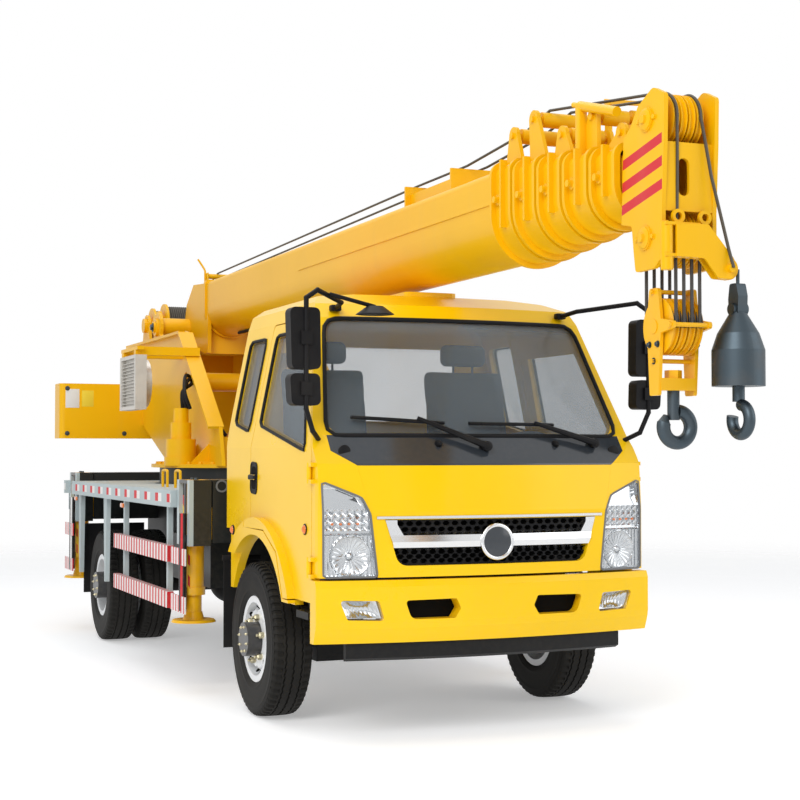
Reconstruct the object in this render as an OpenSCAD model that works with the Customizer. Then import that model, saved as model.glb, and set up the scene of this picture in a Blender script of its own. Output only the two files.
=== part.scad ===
// Light truck crane: two axle cab over chassis, slewing turret, six section boom and H outriggers.
// Millimetres, +X forward, +Y to the left, +Z up, standing on its tyres at Z = 0.

/* [Chassis] */
// Distance between the front and rear axles
wheelbase = 3600; // [3400:10:3800]
// Distance between the front tyre centres
front_track = 1640; // [1600:5:1680]
// Distance between the centres of the rear twin wheels
rear_track = 1540; // [1520:5:1560]
// Distance between the two tyres of a twin wheel
twin_pitch = 250; // [240:1:260]
// Width over the frame rails
frame_w = 850; // [800:5:860]
// Width of one frame rail
rail_w = 70; // [50:1:80]
// Height of one frame rail
rail_h = 200; // [160:5:220]
// Height of the rails' top above the ground
rail_top = 860; // [850:5:880]

/* [Wheels] */
// Outer radius of a tyre
tyre_r = 402; // [380:1:410]
// Width of a tyre
tyre_w = 215; // [190:1:225]
// Radius of the rim under the bead
rim_r = 204; // [190:1:230]
// Radius of the wheel spindles
spindle_r = 36; // [28:1:45]
// Radius of the king pins
kingpin_r = 19; // [15:1:24]

/* [Cab] */
// Width of the cab
cab_w = 1760; // [1700:5:1800]
// Cab back wall behind the front axle
cab_back = 670; // [640:5:690]
// Cab nose ahead of the front axle
cab_nose = 1030; // [1000:5:1060]
// Height of the lower edge of the cab
cab_bottom = 630; // [600:5:660]
// Height of the roof
cab_top = 2220; // [2180:5:2240]
// Height of the windscreen's lower edge
screen_bottom = 1462; // [1440:2:1480]
// Height of the windscreen's upper edge
screen_top = 2060; // [2030:2:2070]
// Thickness of the doors and cab walls
cab_wall = 45; // [35:1:55]
// Gap round a door
door_gap = 6; // [5:0.5:9]
// Radius of the front wheel arch
arch_r = 545; // [530:5:552]

/* [Deck] */
// Height of the deck
deck_z = 1157; // [1140:1:1170]
// Width of the deck
deck_w = 2200; // [2150:5:2260]
// Front end of the deck behind the front axle
deck_front = 1060; // [1050:5:1100]
// Rear end of the deck behind the front axle
deck_rear = 4540; // [4500:5:4600]

/* [Outriggers] */
// Place of the front outriggers behind the front axle
front_legs = 900; // [890:5:905]
// Place of the rear outriggers behind the front axle
rear_legs = 4340; // [4320:5:4360]
// Width of an outrigger beam
beam_w = 110; // [90:1:115]
// Height of an outrigger beam
beam_h = 180; // [150:1:200]
// Radius of a foot plate
foot_r = 128; // [110:1:150]
// Travel of an outrigger beam
beam_slide = 950; // [900:5:1000]
// Place of the legs from the middle of the crane
leg_y = 1000; // [990:5:1010]

/* [Turret] */
// Slewing axis behind the front axle
slew_back = 3000; // [2980:5:3020]
// Radius of the slewing table
table_r = 740; // [720:5:760]
// Height of the slewing table's upper face
table_z = 1295; // [1290:1:1310]
// Width over the turret's cheek plates
turret_w = 900; // [880:5:940]
// Thickness of a cheek plate
cheek_t = 25; // [16:1:30]
// Width of the counterweight box
tail_w = 2240; // [2100:10:2280]

/* [Boom] */
// Boom pivot behind the front axle
pivot_back = 4150; // [4140:5:4170]
// Height of the boom's centre line above the pivot
pivot_drop = 102; // [95:1:110]
// Gap between the cab roof and the boom above it
boom_clear = 42; // [36:1:50]
// Half the width of the base section
boom_half = 200; // [195:1:205]
// Step in half width from one section to the next
boom_step = 18; // [17:0.5:18.5]
// Wall of the boom sections
boom_wall = 6; // [4:0.5:7]
// Front end of the base section ahead of the front axle
boom_front = 1633; // [1600:1:1660]
// Length of a section's collar
collar_l = 190; // [175:1:195]
// Travel of one section out of the one before
stroke = 3800; // [3500:10:3900]
// Length of a section that stays inside the one before
boom_lap = 1473; // [1440:1:1500]

/* [Hidden] */
$fn = 64;
// Clearance of running fits, and the seam between panels of one body
fit = 0.3;
seam = 0.5;

// Outlines
function unit(v) = v / norm(v);
function turn(a, b) = (b - a + 900) % 360 - 180;
function arc(o, r, a, da, n) = [for (k = [0 : n]) o + r * [cos(a + da * k / n), sin(a + da * k / n)]];
function corner(a, b, c, r, n) =
    let (u = unit(a - b), v = unit(c - b), half = acos(u * v) / 2, o = b + unit(u + v) * r / sin(half))
    let (s = b + u * r / tan(half) - o, e = b + v * r / tan(half) - o)
    let (a0 = atan2(s.y, s.x), a1 = atan2(e.y, e.x))
    arc(o, r, a0, turn(a0, a1), n);
function rounded(p, r, n = 5) =
    let (m = len(p))
    [for (i = [0 : m - 1]) for (q = r[i] > 0
        ? corner(p[(i + m - 1) % m], p[i], p[(i + 1) % m], r[i], n) : [p[i]]) q];
function all(r, n) = [for (i = [1 : n]) r];
function mirrored(p) = concat(p, [for (i = [len(p) - 1 : -1 : 0]) [-p[i].x, p[i].y]]);

// Building blocks
module box(a, b) {
    translate(a) cube(b - a);
}
module plate_xz(p, y0, y1) {
    translate([0, y1, 0]) rotate([90, 0, 0]) linear_extrude(y1 - y0) polygon(p);
}
module plate_yz(p, x0, x1) {
    translate([x0, 0, 0]) rotate([90, 0, 90]) linear_extrude(x1 - x0) polygon(p);
}
module rod_y(r, y0, y1) {
    translate([0, y1, 0]) rotate([90, 0, 0]) cylinder(r = r, h = y1 - y0);
}
module rod_x(r, x0, x1) {
    translate([x0, 0, 0]) rotate([0, 90, 0]) cylinder(r = r, h = x1 - x0);
}
// A round bar between two points, and one bent through several
module bar(a, b, r) {
    d = b - a;
    translate(a) rotate([0, acos(d.z / norm(d)), atan2(d.y, d.x)]) cylinder(r = r, h = norm(d), $fn = 24);
}
module bent_bar(p, r) {
    for (k = [0 : len(p) - 2]) bar(p[k], p[k + 1], r);
    for (k = [1 : len(p) - 2]) translate(p[k]) sphere(r = r + 1, $fn = 24);
}
module both() {
    children();
    mirror([0, 1, 0]) children();
}
module placed() {
    translate([-origin_x, 0, 0]) children();
}

// Chassis
rail_bottom = rail_top - rail_h;
frame_front = 940;
axle_z = tyre_r;
kingpin_y = 660;
front_y = front_track / 2;
rear_y = rear_track / 2;

cross_w = 80;
cross_in = 40;
step_front = 780;
step_w = 180;
step_z = 575;
step_t = 35;
valance_bottom = 385;
valance_half = 740;

module frame() color("dimgray") {
    both() box([-deck_rear, frame_w / 2 - rail_w, rail_bottom], [frame_front, frame_w / 2, rail_top]);
    for (x = [-deck_rear, -slew_back + 400, -slew_back + 1300, frame_front - cross_w])
        box([x, -frame_w / 2 + rail_w, rail_bottom + cross_in],
            [x + cross_w, frame_w / 2 - rail_w, rail_top - cross_in]);
    both() box([-rear_legs + box_w / 2, frame_w / 2 - rail_w, rail_top],
        [-front_legs - box_w / 2, frame_w / 2, deck_z - edge_h]);
    // Cab steps
    both() box([step_front - step_w, frame_w / 2 - 10, step_z], [step_front, cab_half, step_z + step_t]);
    both() box([step_front - step_w, frame_w / 2 - rail_w, step_z],
        [step_front - step_w / 2, frame_w / 2, rail_bottom + 5]);
    // Valance below the bumper, and the plate behind its slots
    intersection() {
        nose_band([[-70, valance_bottom], [-40, valance_bottom + 15], [-40, bumper_bottom - 5],
            [-70, bumper_bottom - 5]]);
        box([0, -valance_half, 0], [cab_nose + 50, valance_half, cab_bottom]);
    }
    intersection() {
        nose_band([[-94, slot_z - 70], [-66, slot_z - 70], [-66, slot_z + 70], [-94, slot_z + 70]]);
        box([0, -slot_out - 30, 0], [cab_nose + 50, slot_out + 30, cab_top]);
    }
    both() box([frame_front - cross_w, frame_w / 2 - rail_w, valance_bottom + 20],
        [frame_front - 1, frame_w / 2, rail_bottom + 5]);
    both() box([frame_front - cross_w, frame_w / 2 - rail_w, valance_bottom + 20],
        [frame_front + 20, frame_w / 2, bumper_bottom - 8]);
}

module leaf_spring(x, z, half) {
    r = 4 * half;
    both() translate([0, frame_w / 2 - 35, 0]) {
        intersection() {
            translate([x, 35, z + r + 45]) rotate([90, 0, 0]) difference() {
                cylinder(r = r + 45, h = 70, $fn = 128);
                translate([0, 0, -1]) cylinder(r = r, h = 72, $fn = 128);
            }
            box([x - half, -40, z - 10], [x + half, 40, z + half]);
        }
        for (s = [-1, 1])
            box([x + s * half - 30, -30, z + 60], [x + s * half + 30, 30, rail_bottom]);
    }
}

module front_axle() color("black") {
    box([-45, -kingpin_y + 80, axle_z - 130], [45, kingpin_y - 80, axle_z - 40]);
    both() {
        box([-45, kingpin_y - 140, axle_z - 130], [45, kingpin_y - 80, axle_z + 55]);
        box([-40, kingpin_y - 100, axle_z - 55], [40, kingpin_y, axle_z + 55]);
        translate([0, kingpin_y, axle_z - 60]) cylinder(r = 48, h = 120);
        translate([0, kingpin_y, axle_z - 110]) cylinder(r = kingpin_r, h = 220);
    }
    leaf_spring(0, axle_z - 40, 560);
}

module rear_axle() color("black") translate([-wheelbase, 0, 0]) {
    translate([0, 0, axle_z]) {
        rod_y(62, -rear_y + 190, rear_y - 190);
        both() rod_y(spindle_r, rear_y - 200, rear_y + 150);
        sphere(r = 165);
        rod_x(70, 0, 260);
    }
    leaf_spring(0, axle_z + 60, 560);
}

engine_half = frame_w / 2 - rail_w - 55;
module engine() color("gray") {
    box([-480, -engine_half, 500], [560, engine_half, 925]);
    for (x = [-320, 380]) both() box([x, engine_half - 10, 700], [x + 90, frame_w / 2 - rail_w, 760]);
    translate([0, 0, 690]) rod_x(150, -1050, -480);
    translate([-1050, 0, 640]) rotate([0, -90 - 4.6, 0]) cylinder(r = 45, h = 2150);
}

// Knuckles, rims and tyres, each at the left side of its axle's centre
module knuckle() color("black") translate([0, 0, axle_z]) {
    difference() {
        union() {
            for (z = [-105, 60.3]) translate([0, kingpin_y, z]) cylinder(r = 46, h = 44.7);
            box([-40, kingpin_y + 52, -105], [40, kingpin_y + 90, 105]);
            for (z = [-105, 60.3]) box([-40, kingpin_y, z], [40, kingpin_y + 60, z + 44.7]);
            rod_y(spindle_r, kingpin_y + 80, front_y + 130);
        }
        for (z = [-106, 60]) translate([0, kingpin_y, z]) cylinder(r = kingpin_r + 0.05, h = 46);
    }
}

bead = 80;
bead_in = 4;
module tyre() {
    half = tyre_w / 2 - 6;
    rotate([90, 0, 0]) rotate_extrude($fn = 96)
        polygon([[rim_r + fit, -bead + bead_in], [tyre_r, -half], [tyre_r, half],
        [rim_r + fit, bead - bead_in]]);
}

// A rim with its disc at a set place along the axle, bulging outwards
hand_holes = 8;
module rim(disc) {
    lip = bead + fit;
    rotate([-90, 0, 0]) difference() {
        rotate_extrude($fn = 96) polygon([[rim_r - 14, -lip - 8], [rim_r + 20, -lip - 8],
            [rim_r + 20, -lip], [rim_r, -lip], [rim_r, lip], [rim_r + 20, lip], [rim_r + 20, lip + 8],
            [rim_r - 14, lip + 8], [rim_r - 14, disc + 10], [150, disc + 55],
                [spindle_r + fit / 6, disc + 55],
            [spindle_r + fit / 6, disc + 20], [140, disc + 20], [rim_r - 14, disc - 25]]);
        for (k = [1 : hand_holes]) rotate([0, 0, k * 360 / hand_holes])
            translate([rim_r - 44, 0, -lip]) cylinder(r = 19, h = 2 * lip, $fn = 32);
    }
}

module front_wheel_rim() color("lightgray") translate([0, front_y, axle_z]) {
    rim(20);
    rotate([-90, 0, 0]) difference() {
        cylinder(r = 88, h = 150);
        translate([0, 0, -1]) cylinder(r = spindle_r + fit / 6, h = 132);
    }
}
module front_wheel_tyre() color("black") translate([0, front_y, axle_z]) tyre();

module rear_wheel_rims() color("lightgray") translate([-wheelbase, rear_y, axle_z]) {
    translate([0, -twin_pitch / 2, 0]) rim(30);
    translate([0, twin_pitch / 2, 0]) mirror([0, 1, 0]) rim(30);
    rotate([-90, 0, 0]) difference() {
        cylinder(r = 96, h = 260);
        translate([0, 0, -1]) cylinder(r = spindle_r + fit / 6, h = 152);
    }
    rotate([90, 0, 0]) difference() {
        cylinder(r = 150, h = 95);
        translate([0, 0, -1]) cylinder(r = spindle_r + fit / 6, h = 97);
    }
}
module rear_wheel_tyres() color("black") translate([-wheelbase, rear_y, axle_z]) {
    for (s = [-1, 1]) translate([0, s * twin_pitch / 2, 0]) tyre();
}

// Cab
cab_half = cab_w / 2;
floor_z = 955;
floor_t = 30;
bow_r = 3000;
screen_foot = cab_nose - 135;
screen_head = screen_foot - 335;
belt_z = 1400;
roof_half = cab_half - 135;
flap_bottom = 1070;
flap_top = 1316;

function cab_front_view(t) = let (w = cab_half - t, h = cab_top - t) mirrored([[w, cab_bottom - t],
    [w, belt_z], [roof_half - t, screen_top + 10], [roof_half - t - 25, h - 78], [roof_half - t - 95, h - 32],
    [roof_half - t - 340, h - 8]]);
function cab_side_view(t) = [[0, cab_bottom - 2 * t], [bow_r + cab_nose - t, cab_bottom - 2 * t],
    [bow_r + cab_nose - t, flap_bottom + 25], [bow_r + cab_nose - 30 - t, flap_top + 8],
    [bow_r + screen_foot - 1.1 * t, screen_bottom], [bow_r + screen_head - 1.1 * t, screen_top],
    [bow_r + screen_head - 65 - t, screen_top + 75 - t], [bow_r + screen_head - 300 - t, cab_top - 12 - t],
    [bow_r - 200, cab_top - t], [0, cab_top - t]];
function cab_plan(t) = rounded([[-cab_back + t, -cab_half + t], [cab_nose, -cab_half + t],
    [cab_nose, cab_half - t], [-cab_back + t, cab_half - t]], [40, 150 - t, 150 - t, 40], 8);

// The cab's outer form, set in by t
module cab_form(t) {
    intersection() {
        plate_yz(cab_front_view(t), -cab_back + t, cab_nose + 50);
        translate([-bow_r, 0, 0]) rotate([0, 0, -25]) rotate_extrude(angle = 50, $fn = 720)
            polygon(cab_side_view(t));
        translate([0, 0, cab_bottom - 2 * t]) linear_extrude(cab_top) polygon(cab_plan(t));
    }
}
// The left side of the cab outside its pillars, set out by g
module side_region(g) {
    plate_yz([[cab_half - 55 + g, 500], [cab_half + 200, 500], [cab_half + 200, cab_top],
        [roof_half - 40 + g, cab_top],
        [roof_half - 40 + g, screen_top], [cab_half - 55 + g, belt_z]], -cab_back - 50, cab_nose + 100);
}
module cab_walls() {
    difference() {
        cab_form(0);
        cab_form(cab_wall);
        both() translate([0, 0, axle_z]) rod_y(arch_r, 0, cab_half + 100);
    }
}

door_front = 826;
door_back = -170;
door_bottom = 660;
function door_outline(g) = rounded([[door_back - g, door_bottom + 320], [door_back - g, screen_top + g],
    [screen_head - 90 + g, screen_top + g], [door_front - 28 + g, screen_bottom - 30], [door_front + g, 1380],
    [door_front + g, door_bottom - g], [505 - 2 * g, door_bottom - g], [400 - 2 * g, 880 - g],
        [180 - g, 980 - g]],
    [0, 30, 30, 0, 0, 20, 0, 0, 0]);
window_sill = 1350;
function side_window(g) = rounded([[door_back + 85 + g, window_sill + 175 + g],
    [door_back + 85 + g, screen_top - 60 - g],
    [screen_head - 145 - g, screen_top - 60 - g], [door_front - 85 - g, window_sill + 35 + g]],
        [40, 40, 30, 30]);
function rear_quarter(g) = rounded([[-cab_back + 110 + g, 1540 + g],
    [-cab_back + 110 + g, screen_top - 65 - g],
    [door_back - 90 - g, screen_top - 65 - g], [door_back - 90 - g, 1490 + g]], [40, 40, 30, 30]);
function screen_outline(g) = let (w = cab_half - 80 - g, v = roof_half - 45 - g)
    rounded([[-w, screen_bottom + g], [w, screen_bottom + g], [v, screen_top - 8 - g],
        [-v, screen_top - 8 - g]], [70, 70, 45, 45]);
function back_window(g) = rounded([[-560 + g, 1560 + g], [560 - g, 1560 + g], [520 - g, screen_top - 70 - g],
    [-520 + g, screen_top - 70 - g]], all(50, 4));
front_x = 430;
lamp_in = 600;
lamp_x = door_front + 30;
lamp_out = 862;
panel_bottom = 785;
function flap_outline(g) = [[-630 + g, flap_bottom + g], [630 - g, flap_bottom + g], [690 - g, flap_top - g],
    [-690 + g, flap_top - g]];
function cowl_outline(g) = [[-690 + g, flap_top + g], [690 - g, flap_top + g],
    [cab_half - 80 - g, flap_top + 70],
    [cab_half - 80 - g, screen_bottom - g], [-cab_half + 80 + g, screen_bottom - g],
        [-cab_half + 80 + g, flap_top + 70]];
grille_half = 545;
grille_bottom = 838;
grille_top = flap_bottom - 12;
function grille_outline(g) = rounded([[-grille_half + 45 + g, grille_bottom + g],
    [grille_half - 45 - g, grille_bottom + g], [grille_half + 22 - g, grille_top - g],
    [-grille_half - 22 + g, grille_top - g]], [60, 60, 0, 0]);
function lamp_outline(g) = rounded([[lamp_in + g, panel_bottom + g], [lamp_out - g, panel_bottom + g],
    [lamp_out + 3 - g, 1245 - g], [672 + g, 1165 - g], [lamp_in + 34 + g, flap_bottom + 12]],
        [0, 30, 30, 20, 0]);

module front_cut(p, x0 = front_x) {
    plate_yz(p, x0, cab_nose + 100);
}

hinge_z = [800, 1250];
vent_half = 150;
module cab_shell() color("gold") {
    cab_panels();
    // Roof vent
    translate([0, 0, cab_top - 20]) linear_extrude(34) polygon(rounded([[-90, -vent_half], [240, -vent_half],
        [240, vent_half], [-90, vent_half]], all(30, 4), 3));
    both() for (z = hinge_z) translate([hinge_x, hinge_y, z]) {
        translate([0, 0, -20]) cylinder(r = 7, h = 100);
        for (h = [-20, 60.3]) {
            translate([0, 0, h]) cylinder(r = 12, h = 19.7);
            box([4, -16, h], [48, 8, h + 19.7]);
        }
    }
}
module cab_panels() difference() {
    cab_walls();
    both() intersection() {
        plate_xz(door_outline(door_gap), 300, cab_half + 100);
        side_region(0);
    }
    both() plate_xz(rear_quarter(0), 300, cab_half + 100);
    front_cut(screen_outline(0));
    front_cut(flap_outline(0));
    front_cut(cowl_outline(0));
    front_cut(grille_outline(0));
    both() front_cut(lamp_outline(0), lamp_x);
    plate_yz(back_window(0), -cab_back - 10, -cab_back + 200);
    box([-cab_back - 10, -cab_half - 10, 0], [-arch_r, cab_half + 10, floor_z]);
    // The nose below the lamps is the bumper
    box([580, -cab_half - 50, 0], [cab_nose + 100, cab_half + 50, panel_bottom]);
}
module pane() {
    intersection() {
        difference() {
            cab_form(14);
            cab_form(22);
        }
        children();
    }
}
module cab_glass() color("lightskyblue", 0.5) {
    pane() front_cut(screen_outline(fit));
    pane() both() plate_xz(rear_quarter(fit), 300, cab_half + 100);
    pane() plate_yz(back_window(fit), -cab_back - 10, -cab_back + 200);
}
module front_panel() color("gold") intersection() {
    cab_walls();
    front_cut(flap_outline(seam));
}
module cowl() color("black") intersection() {
    cab_walls();
    front_cut(cowl_outline(seam));
}
// A ring piece round the nose, its profile given from the nose line as (out, height)
module nose_band(p) {
    translate([-bow_r, 0, 0]) rotate([0, 0, -25]) rotate_extrude(angle = 50, $fn = 720)
        polygon([for (q = p) [bow_r + cab_nose + q.x, q.y]]);
}
cell_w = 46;
cell_h = 20;
cell_rim = 7;
// Flattened honeycomb cells between two heights
module cells(z0, z1) {
    rows = floor((z1 - z0) / cell_h);
    for (row = [0 : rows - 1]) for (k = [-11 : 11])
        translate([(k + row % 2 / 2) * cell_w, z0 + (row + 0.5) * (z1 - z0) / rows])
            polygon([for (a = [0 : 60 : 300])
                [(cell_w - cell_rim) / 2 * cos(a), (cell_h + cell_rim) / 2 * sin(a) - 0.12 * sin(a)]]);
}
bar_bottom = 912;
bar_top = 995;
module grille() color("black") intersection() {
    nose_band([[-40, grille_bottom], [-24, grille_bottom], [-24, grille_top], [-40, grille_top]]);
    translate([front_x, 0, 0]) rotate([90, 0, 90]) linear_extrude(cab_nose) difference() {
        polygon(grille_outline(seam));
        cells(grille_bottom + 10, bar_bottom);
        cells(bar_top, grille_top - 6);
    }
}
ring_r = 80;
ring_z = (bar_bottom + bar_top) / 2 - 8;
module grille_trim() color("silver") {
    // Bar with raised ends, open behind the centre ring
    intersection() {
        nose_band([[-24 + fit, bar_bottom], [4, bar_bottom + 12], [12, bar_bottom + 40], [4, bar_top - 12],
            [-24 + fit, bar_top]]);
        front_cut(grille_outline(seam));
    }
    both() intersection() {
        nose_band([[-24 + fit, bar_bottom], [4, bar_bottom + 12], [4, grille_top - 2],
            [-24 + fit, grille_top - 2]]);
        front_cut(grille_outline(seam));
        front_cut(rounded([[grille_half + 50, bar_bottom], [grille_half + 50, cab_top],
            [grille_half - 36, cab_top], [grille_half - 36, bar_top + 40], [grille_half - 110, bar_bottom]],
            [0, 0, 0, 20, 0]));
    }
    translate([cab_nose + 8, 0, ring_z]) rotate([0, 90, 0]) {
        rotate_extrude() translate([ring_r, 0]) circle(r = 10);
        translate([0, 0, -14]) cylinder(r = ring_r, h = 10);
    }
    // Strip along the lower edge of the flap
    intersection() {
        nose_band([[fit, grille_top + 2], [7, grille_top + 4], [7, flap_bottom + 4], [fit, flap_bottom + 6]]);
        box([0, -lamp_in - 8, 0], [cab_nose + 50, lamp_in + 8, cab_top]);
    }
}
fog_z = 632;
function fog_outline(g) = rounded([[574 + g, fog_z - 50 + g], [752 - g, fog_z - 44 + g],
    [790 - g, fog_z + 50 - g],
    [602 + g, fog_z + 44 - g]], all(14, 4));
slot_z = 632;
slot_out = 475;
function slot_outline() = rounded([[225, slot_z - 46], [slot_out - 30, slot_z - 46], [slot_out, slot_z + 44],
    [218, slot_z + 48], [196, slot_z]], [12, 40, 14, 12, 14]);
module lamps() color("whitesmoke") {
    intersection() {
        cab_walls();
        both() front_cut(lamp_outline(seam), lamp_x);
    }
    // Fog lamps in the bumper
    both() intersection() {
        nose_band([[-56, fog_z - 80], [6, fog_z - 80], [6, fog_z + 80], [-56, fog_z + 80]]);
        front_cut(fog_outline(fit));
    }
}
bumper_bottom = 475;
bumper_top = panel_bottom - 12;
bumper_half = 900;
module bumper() color("gold") {
    difference() {
        intersection() {
            nose_band([[-60, bumper_bottom], [-14, bumper_bottom], [14, bumper_bottom + 70],
                [20, bumper_bottom + 100],
                [20, bumper_top - 30], [4, bumper_top], [-60, bumper_top]]);
            translate([0, 0, 400]) linear_extrude(600) polygon(rounded([[610, -bumper_half],
                [cab_nose + 25, -bumper_half], [cab_nose + 25, bumper_half], [610, bumper_half]],
                [0, 120, 120, 0], 8));
        }
        both() front_cut(fog_outline(0));
        both() front_cut(slot_outline());
    }
    both() box([frame_front, frame_w / 2 - rail_w, bumper_top - 60],
        [cab_nose - 40, frame_w / 2, bumper_top]);
}
flare = 90;
flare_out = 40;
// Flare round the wheel opening, which the door's edge parts in two
module flare_ring() difference() {
    translate([0, 0, axle_z]) rod_y(arch_r + flare, cab_half - 2, cab_half + flare_out, $fn = 360);
    translate([0, 0, axle_z]) rod_y(arch_r, cab_half - 3, cab_half + flare_out + 1, $fn = 360);
    box([-2000, 0, -1000], [2000, 2000, 640]);
    box([-2000, 0, -1000], [-300, 2000, 830]);
}
module wheel_arches() color("gold") both() difference() {
    flare_ring();
    box([-2000, 0, 0], [2000, cab_half, 2000]);
    plate_xz(door_outline(door_gap), 300, cab_half + 100);
}
mirror_x = 875;
mirror_y = 935;
module mirror_head(z0, z1) {
    translate([mirror_x, mirror_y, 0])
        plate_yz(rounded([[-75, z0], [70, z0], [80, z1], [-70, z1]], all(28, 4)), -50, 30);
}
module mirrors() color("black") difference() {
    union() {
        both() {
            mirror_head(1600, 1752);
            mirror_head(1772, 2066);
            bent_bar([[640, 660, 2120], [mirror_x + 20, mirror_y - 60, 2150], [mirror_x + 30, mirror_y, 2110],
                [mirror_x + 30, mirror_y, 1585], [mirror_x + 10, mirror_y - 40, 1480], [800, 830, 1432]], 12);
            for (z = [1680, 1920]) translate([mirror_x + 20, mirror_y, z]) box([0, -28, -32], [24, 28, 32]);
        }
        // Round front mirror over the near corner of the windscreen
        bar([mirror_x - 60, -mirror_y + 150, 2141], [800, -545, 2090], 10);
        translate([800, -545, 2052]) cylinder(r1 = 95, r2 = 40, h = 40, $fn = 48);
    }
    cab_form(0);
}
module cab_floor() color("dimgray") {
    intersection() {
        cab_form(cab_wall + seam);
        box([-cab_back, -cab_half, floor_z], [750, cab_half, floor_z + floor_t]);
    }
    for (x = [-560, 500]) both() box([x, frame_w / 2 - rail_w, rail_top], [x + 120, frame_w / 2, floor_z]);
}
seat_y = 430;
module seats() color("darkslategray") for (s = [-1, 1]) translate([0, s * seat_y, 0]) {
    plate_xz(rounded([[-270, 985.3], [230, 985.3], [240, 1240], [-110, 1215], [-250, 1850], [-350, 1850],
        [-290, 1200]], [20, 20, 60, 40, 40, 40, 60]), -240, 240);
}
module dashboard() color("dimgray") {
    plate_xz(rounded([[480, 985.3], [740, 985.3], [740, 1380], [520, 1400], [430, 1330], [420, 1200]],
        [20, 10, 30, 40, 30, 30]), -cab_half + 130, cab_half - 130);
    translate([380, seat_y, 1360]) rotate([0, -35, 0]) {
        rotate_extrude() translate([200, 0]) circle(r = 16);
        cylinder(r = 45, h = 40, center = true);
        for (a = [0, 120, 240]) rotate([0, 0, a]) rod_x(12, 30, 195);
        mirror([0, 0, 1]) cylinder(r = 28, h = 190);
    }
}
module door_panel() color("gold") difference() {
    intersection() {
        cab_walls();
        plate_xz(door_outline(0), 300, cab_half + 100);
        side_region(door_gap);
    }
    plate_xz(side_window(0), 300, cab_half + 100);
}
hinge_y = cab_half + 14;
hinge_x = door_front + 3;
module door_hinges() {
    for (z = hinge_z) translate([hinge_x, hinge_y, z]) {
        difference() {
            union() {
                cylinder(r = 13, h = 60);
                box([-60, -14, 5], [0, -4, 55]);
            }
            translate([0, 0, -1]) cylinder(r = 7 + fit / 6, h = 62);
        }
    }
}
handle_x = -112;
handle_l = 52;
handle_z = 1245;
module door() color("gold") {
    difference() {
        door_panel();
        translate([handle_x, cab_half - 14, handle_z]) box([-handle_l + 2, 0, -40], [handle_l - 2, 60, 40]);
    }
    door_hinges();
    intersection() {
        flare_ring();
        plate_xz(door_outline(0), 300, cab_half + 100);
    }
    // Handle across its recess
    translate([handle_x, cab_half - 4, handle_z]) box([-handle_l, 0, -12], [handle_l, 22, 14]);
}
module door_glass() color("lightskyblue", 0.5) pane() plate_xz(side_window(fit), 300, cab_half + 100);

// Deck, guards and outriggers
deck_half = deck_w / 2;
deck_t = 12;
edge_h = 100;
pedestal_r = table_r - 60;
table_t = 24;

edge_t = 40;
post_t = 30;
// A post that tapers down from the deck's edge beside the rear wheels
module tapered_post(x) {
    translate([x, 0, 0]) plate_xz([[-18, guard_z[0]], [18, guard_z[0]], [55, deck_z - edge_h + 5],
        [-55, deck_z - edge_h + 5]], deck_half - edge_t - post_t, deck_half - edge_t);
}
module deck() color("lightslategray") {
    difference() {
        union() {
            box([-deck_rear, -deck_half + edge_t, deck_z - deck_t],
                [-deck_front, deck_half - edge_t, deck_z]);
            both() box([-deck_rear, deck_half - edge_t - 1, deck_z - edge_h],
                [-deck_front, deck_half, deck_z]);
            for (x = [-deck_rear, -2150, -1700, -deck_front - 60])
                box([x, -deck_half + edge_t, deck_z - edge_h], [x + 60, deck_half - edge_t, deck_z - deck_t]);
        }
        translate([-slew_back, 0, 0]) cylinder(r = pedestal_r + 30, h = 2000);
        box([-rear_legs - box_w / 2 - seam, -deck_half - 1, 0],
            [-rear_legs + box_w / 2 + seam, deck_half + 1, 2000]);
    }
    // Posts of the side guards
    both() {
        for (s = [-1, 1]) tapered_post(-wheelbase + s * (tyre_r + 70));
        for (x = [guard_rear + 120, guard_front - 180])
            box([x, deck_half - edge_t - post_t, guard_z[0]],
                [x + 40, deck_half - edge_t, deck_z - edge_h + 5]);
    }
    // Tail lamp plate
    both() box([-deck_rear - 12, deck_half - 420, deck_z - 230], [-deck_rear, deck_half - 40, deck_z - 5]);
}

guard_front = -1130;
guard_rear = -2640;
guard_z = [465, 735];
guard_h = 95;
module side_guards() color("white") both() for (z = guard_z)
    box([guard_rear, deck_half - edge_t, z], [guard_front, deck_half, z + guard_h]);

box_w = 2 * beam_w + 60;
box_bottom = rail_top;
box_top = box_bottom + beam_h + 180;
leg_w = 130;
box_half = leg_y - leg_w / 2 - 8;
beam_z = box_bottom + 20;
beam_lap = 53;
function beam_x(legs, s) = -legs + s * (beam_w / 2 + 10);

module outrigger_boxes() color("darkslategray") for (legs = [front_legs, rear_legs])
    translate([-legs, 0, 0]) difference() {
    box([-box_w / 2, -box_half, box_bottom], [box_w / 2, box_half, box_top]);
    for (s = [-1, 1]) translate([s * (beam_w / 2 + 10), 0, 0])
        box([-beam_w / 2 - 5, -box_half - 1, beam_z - fit],
            [beam_w / 2 + 5, box_half + 1, beam_z + beam_h + 5]);
    // Pipe holes through the upper part
    for (y = [-620, -470]) translate([0, y, box_top - 90]) rod_x(30, -box_w, box_w);
}

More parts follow.
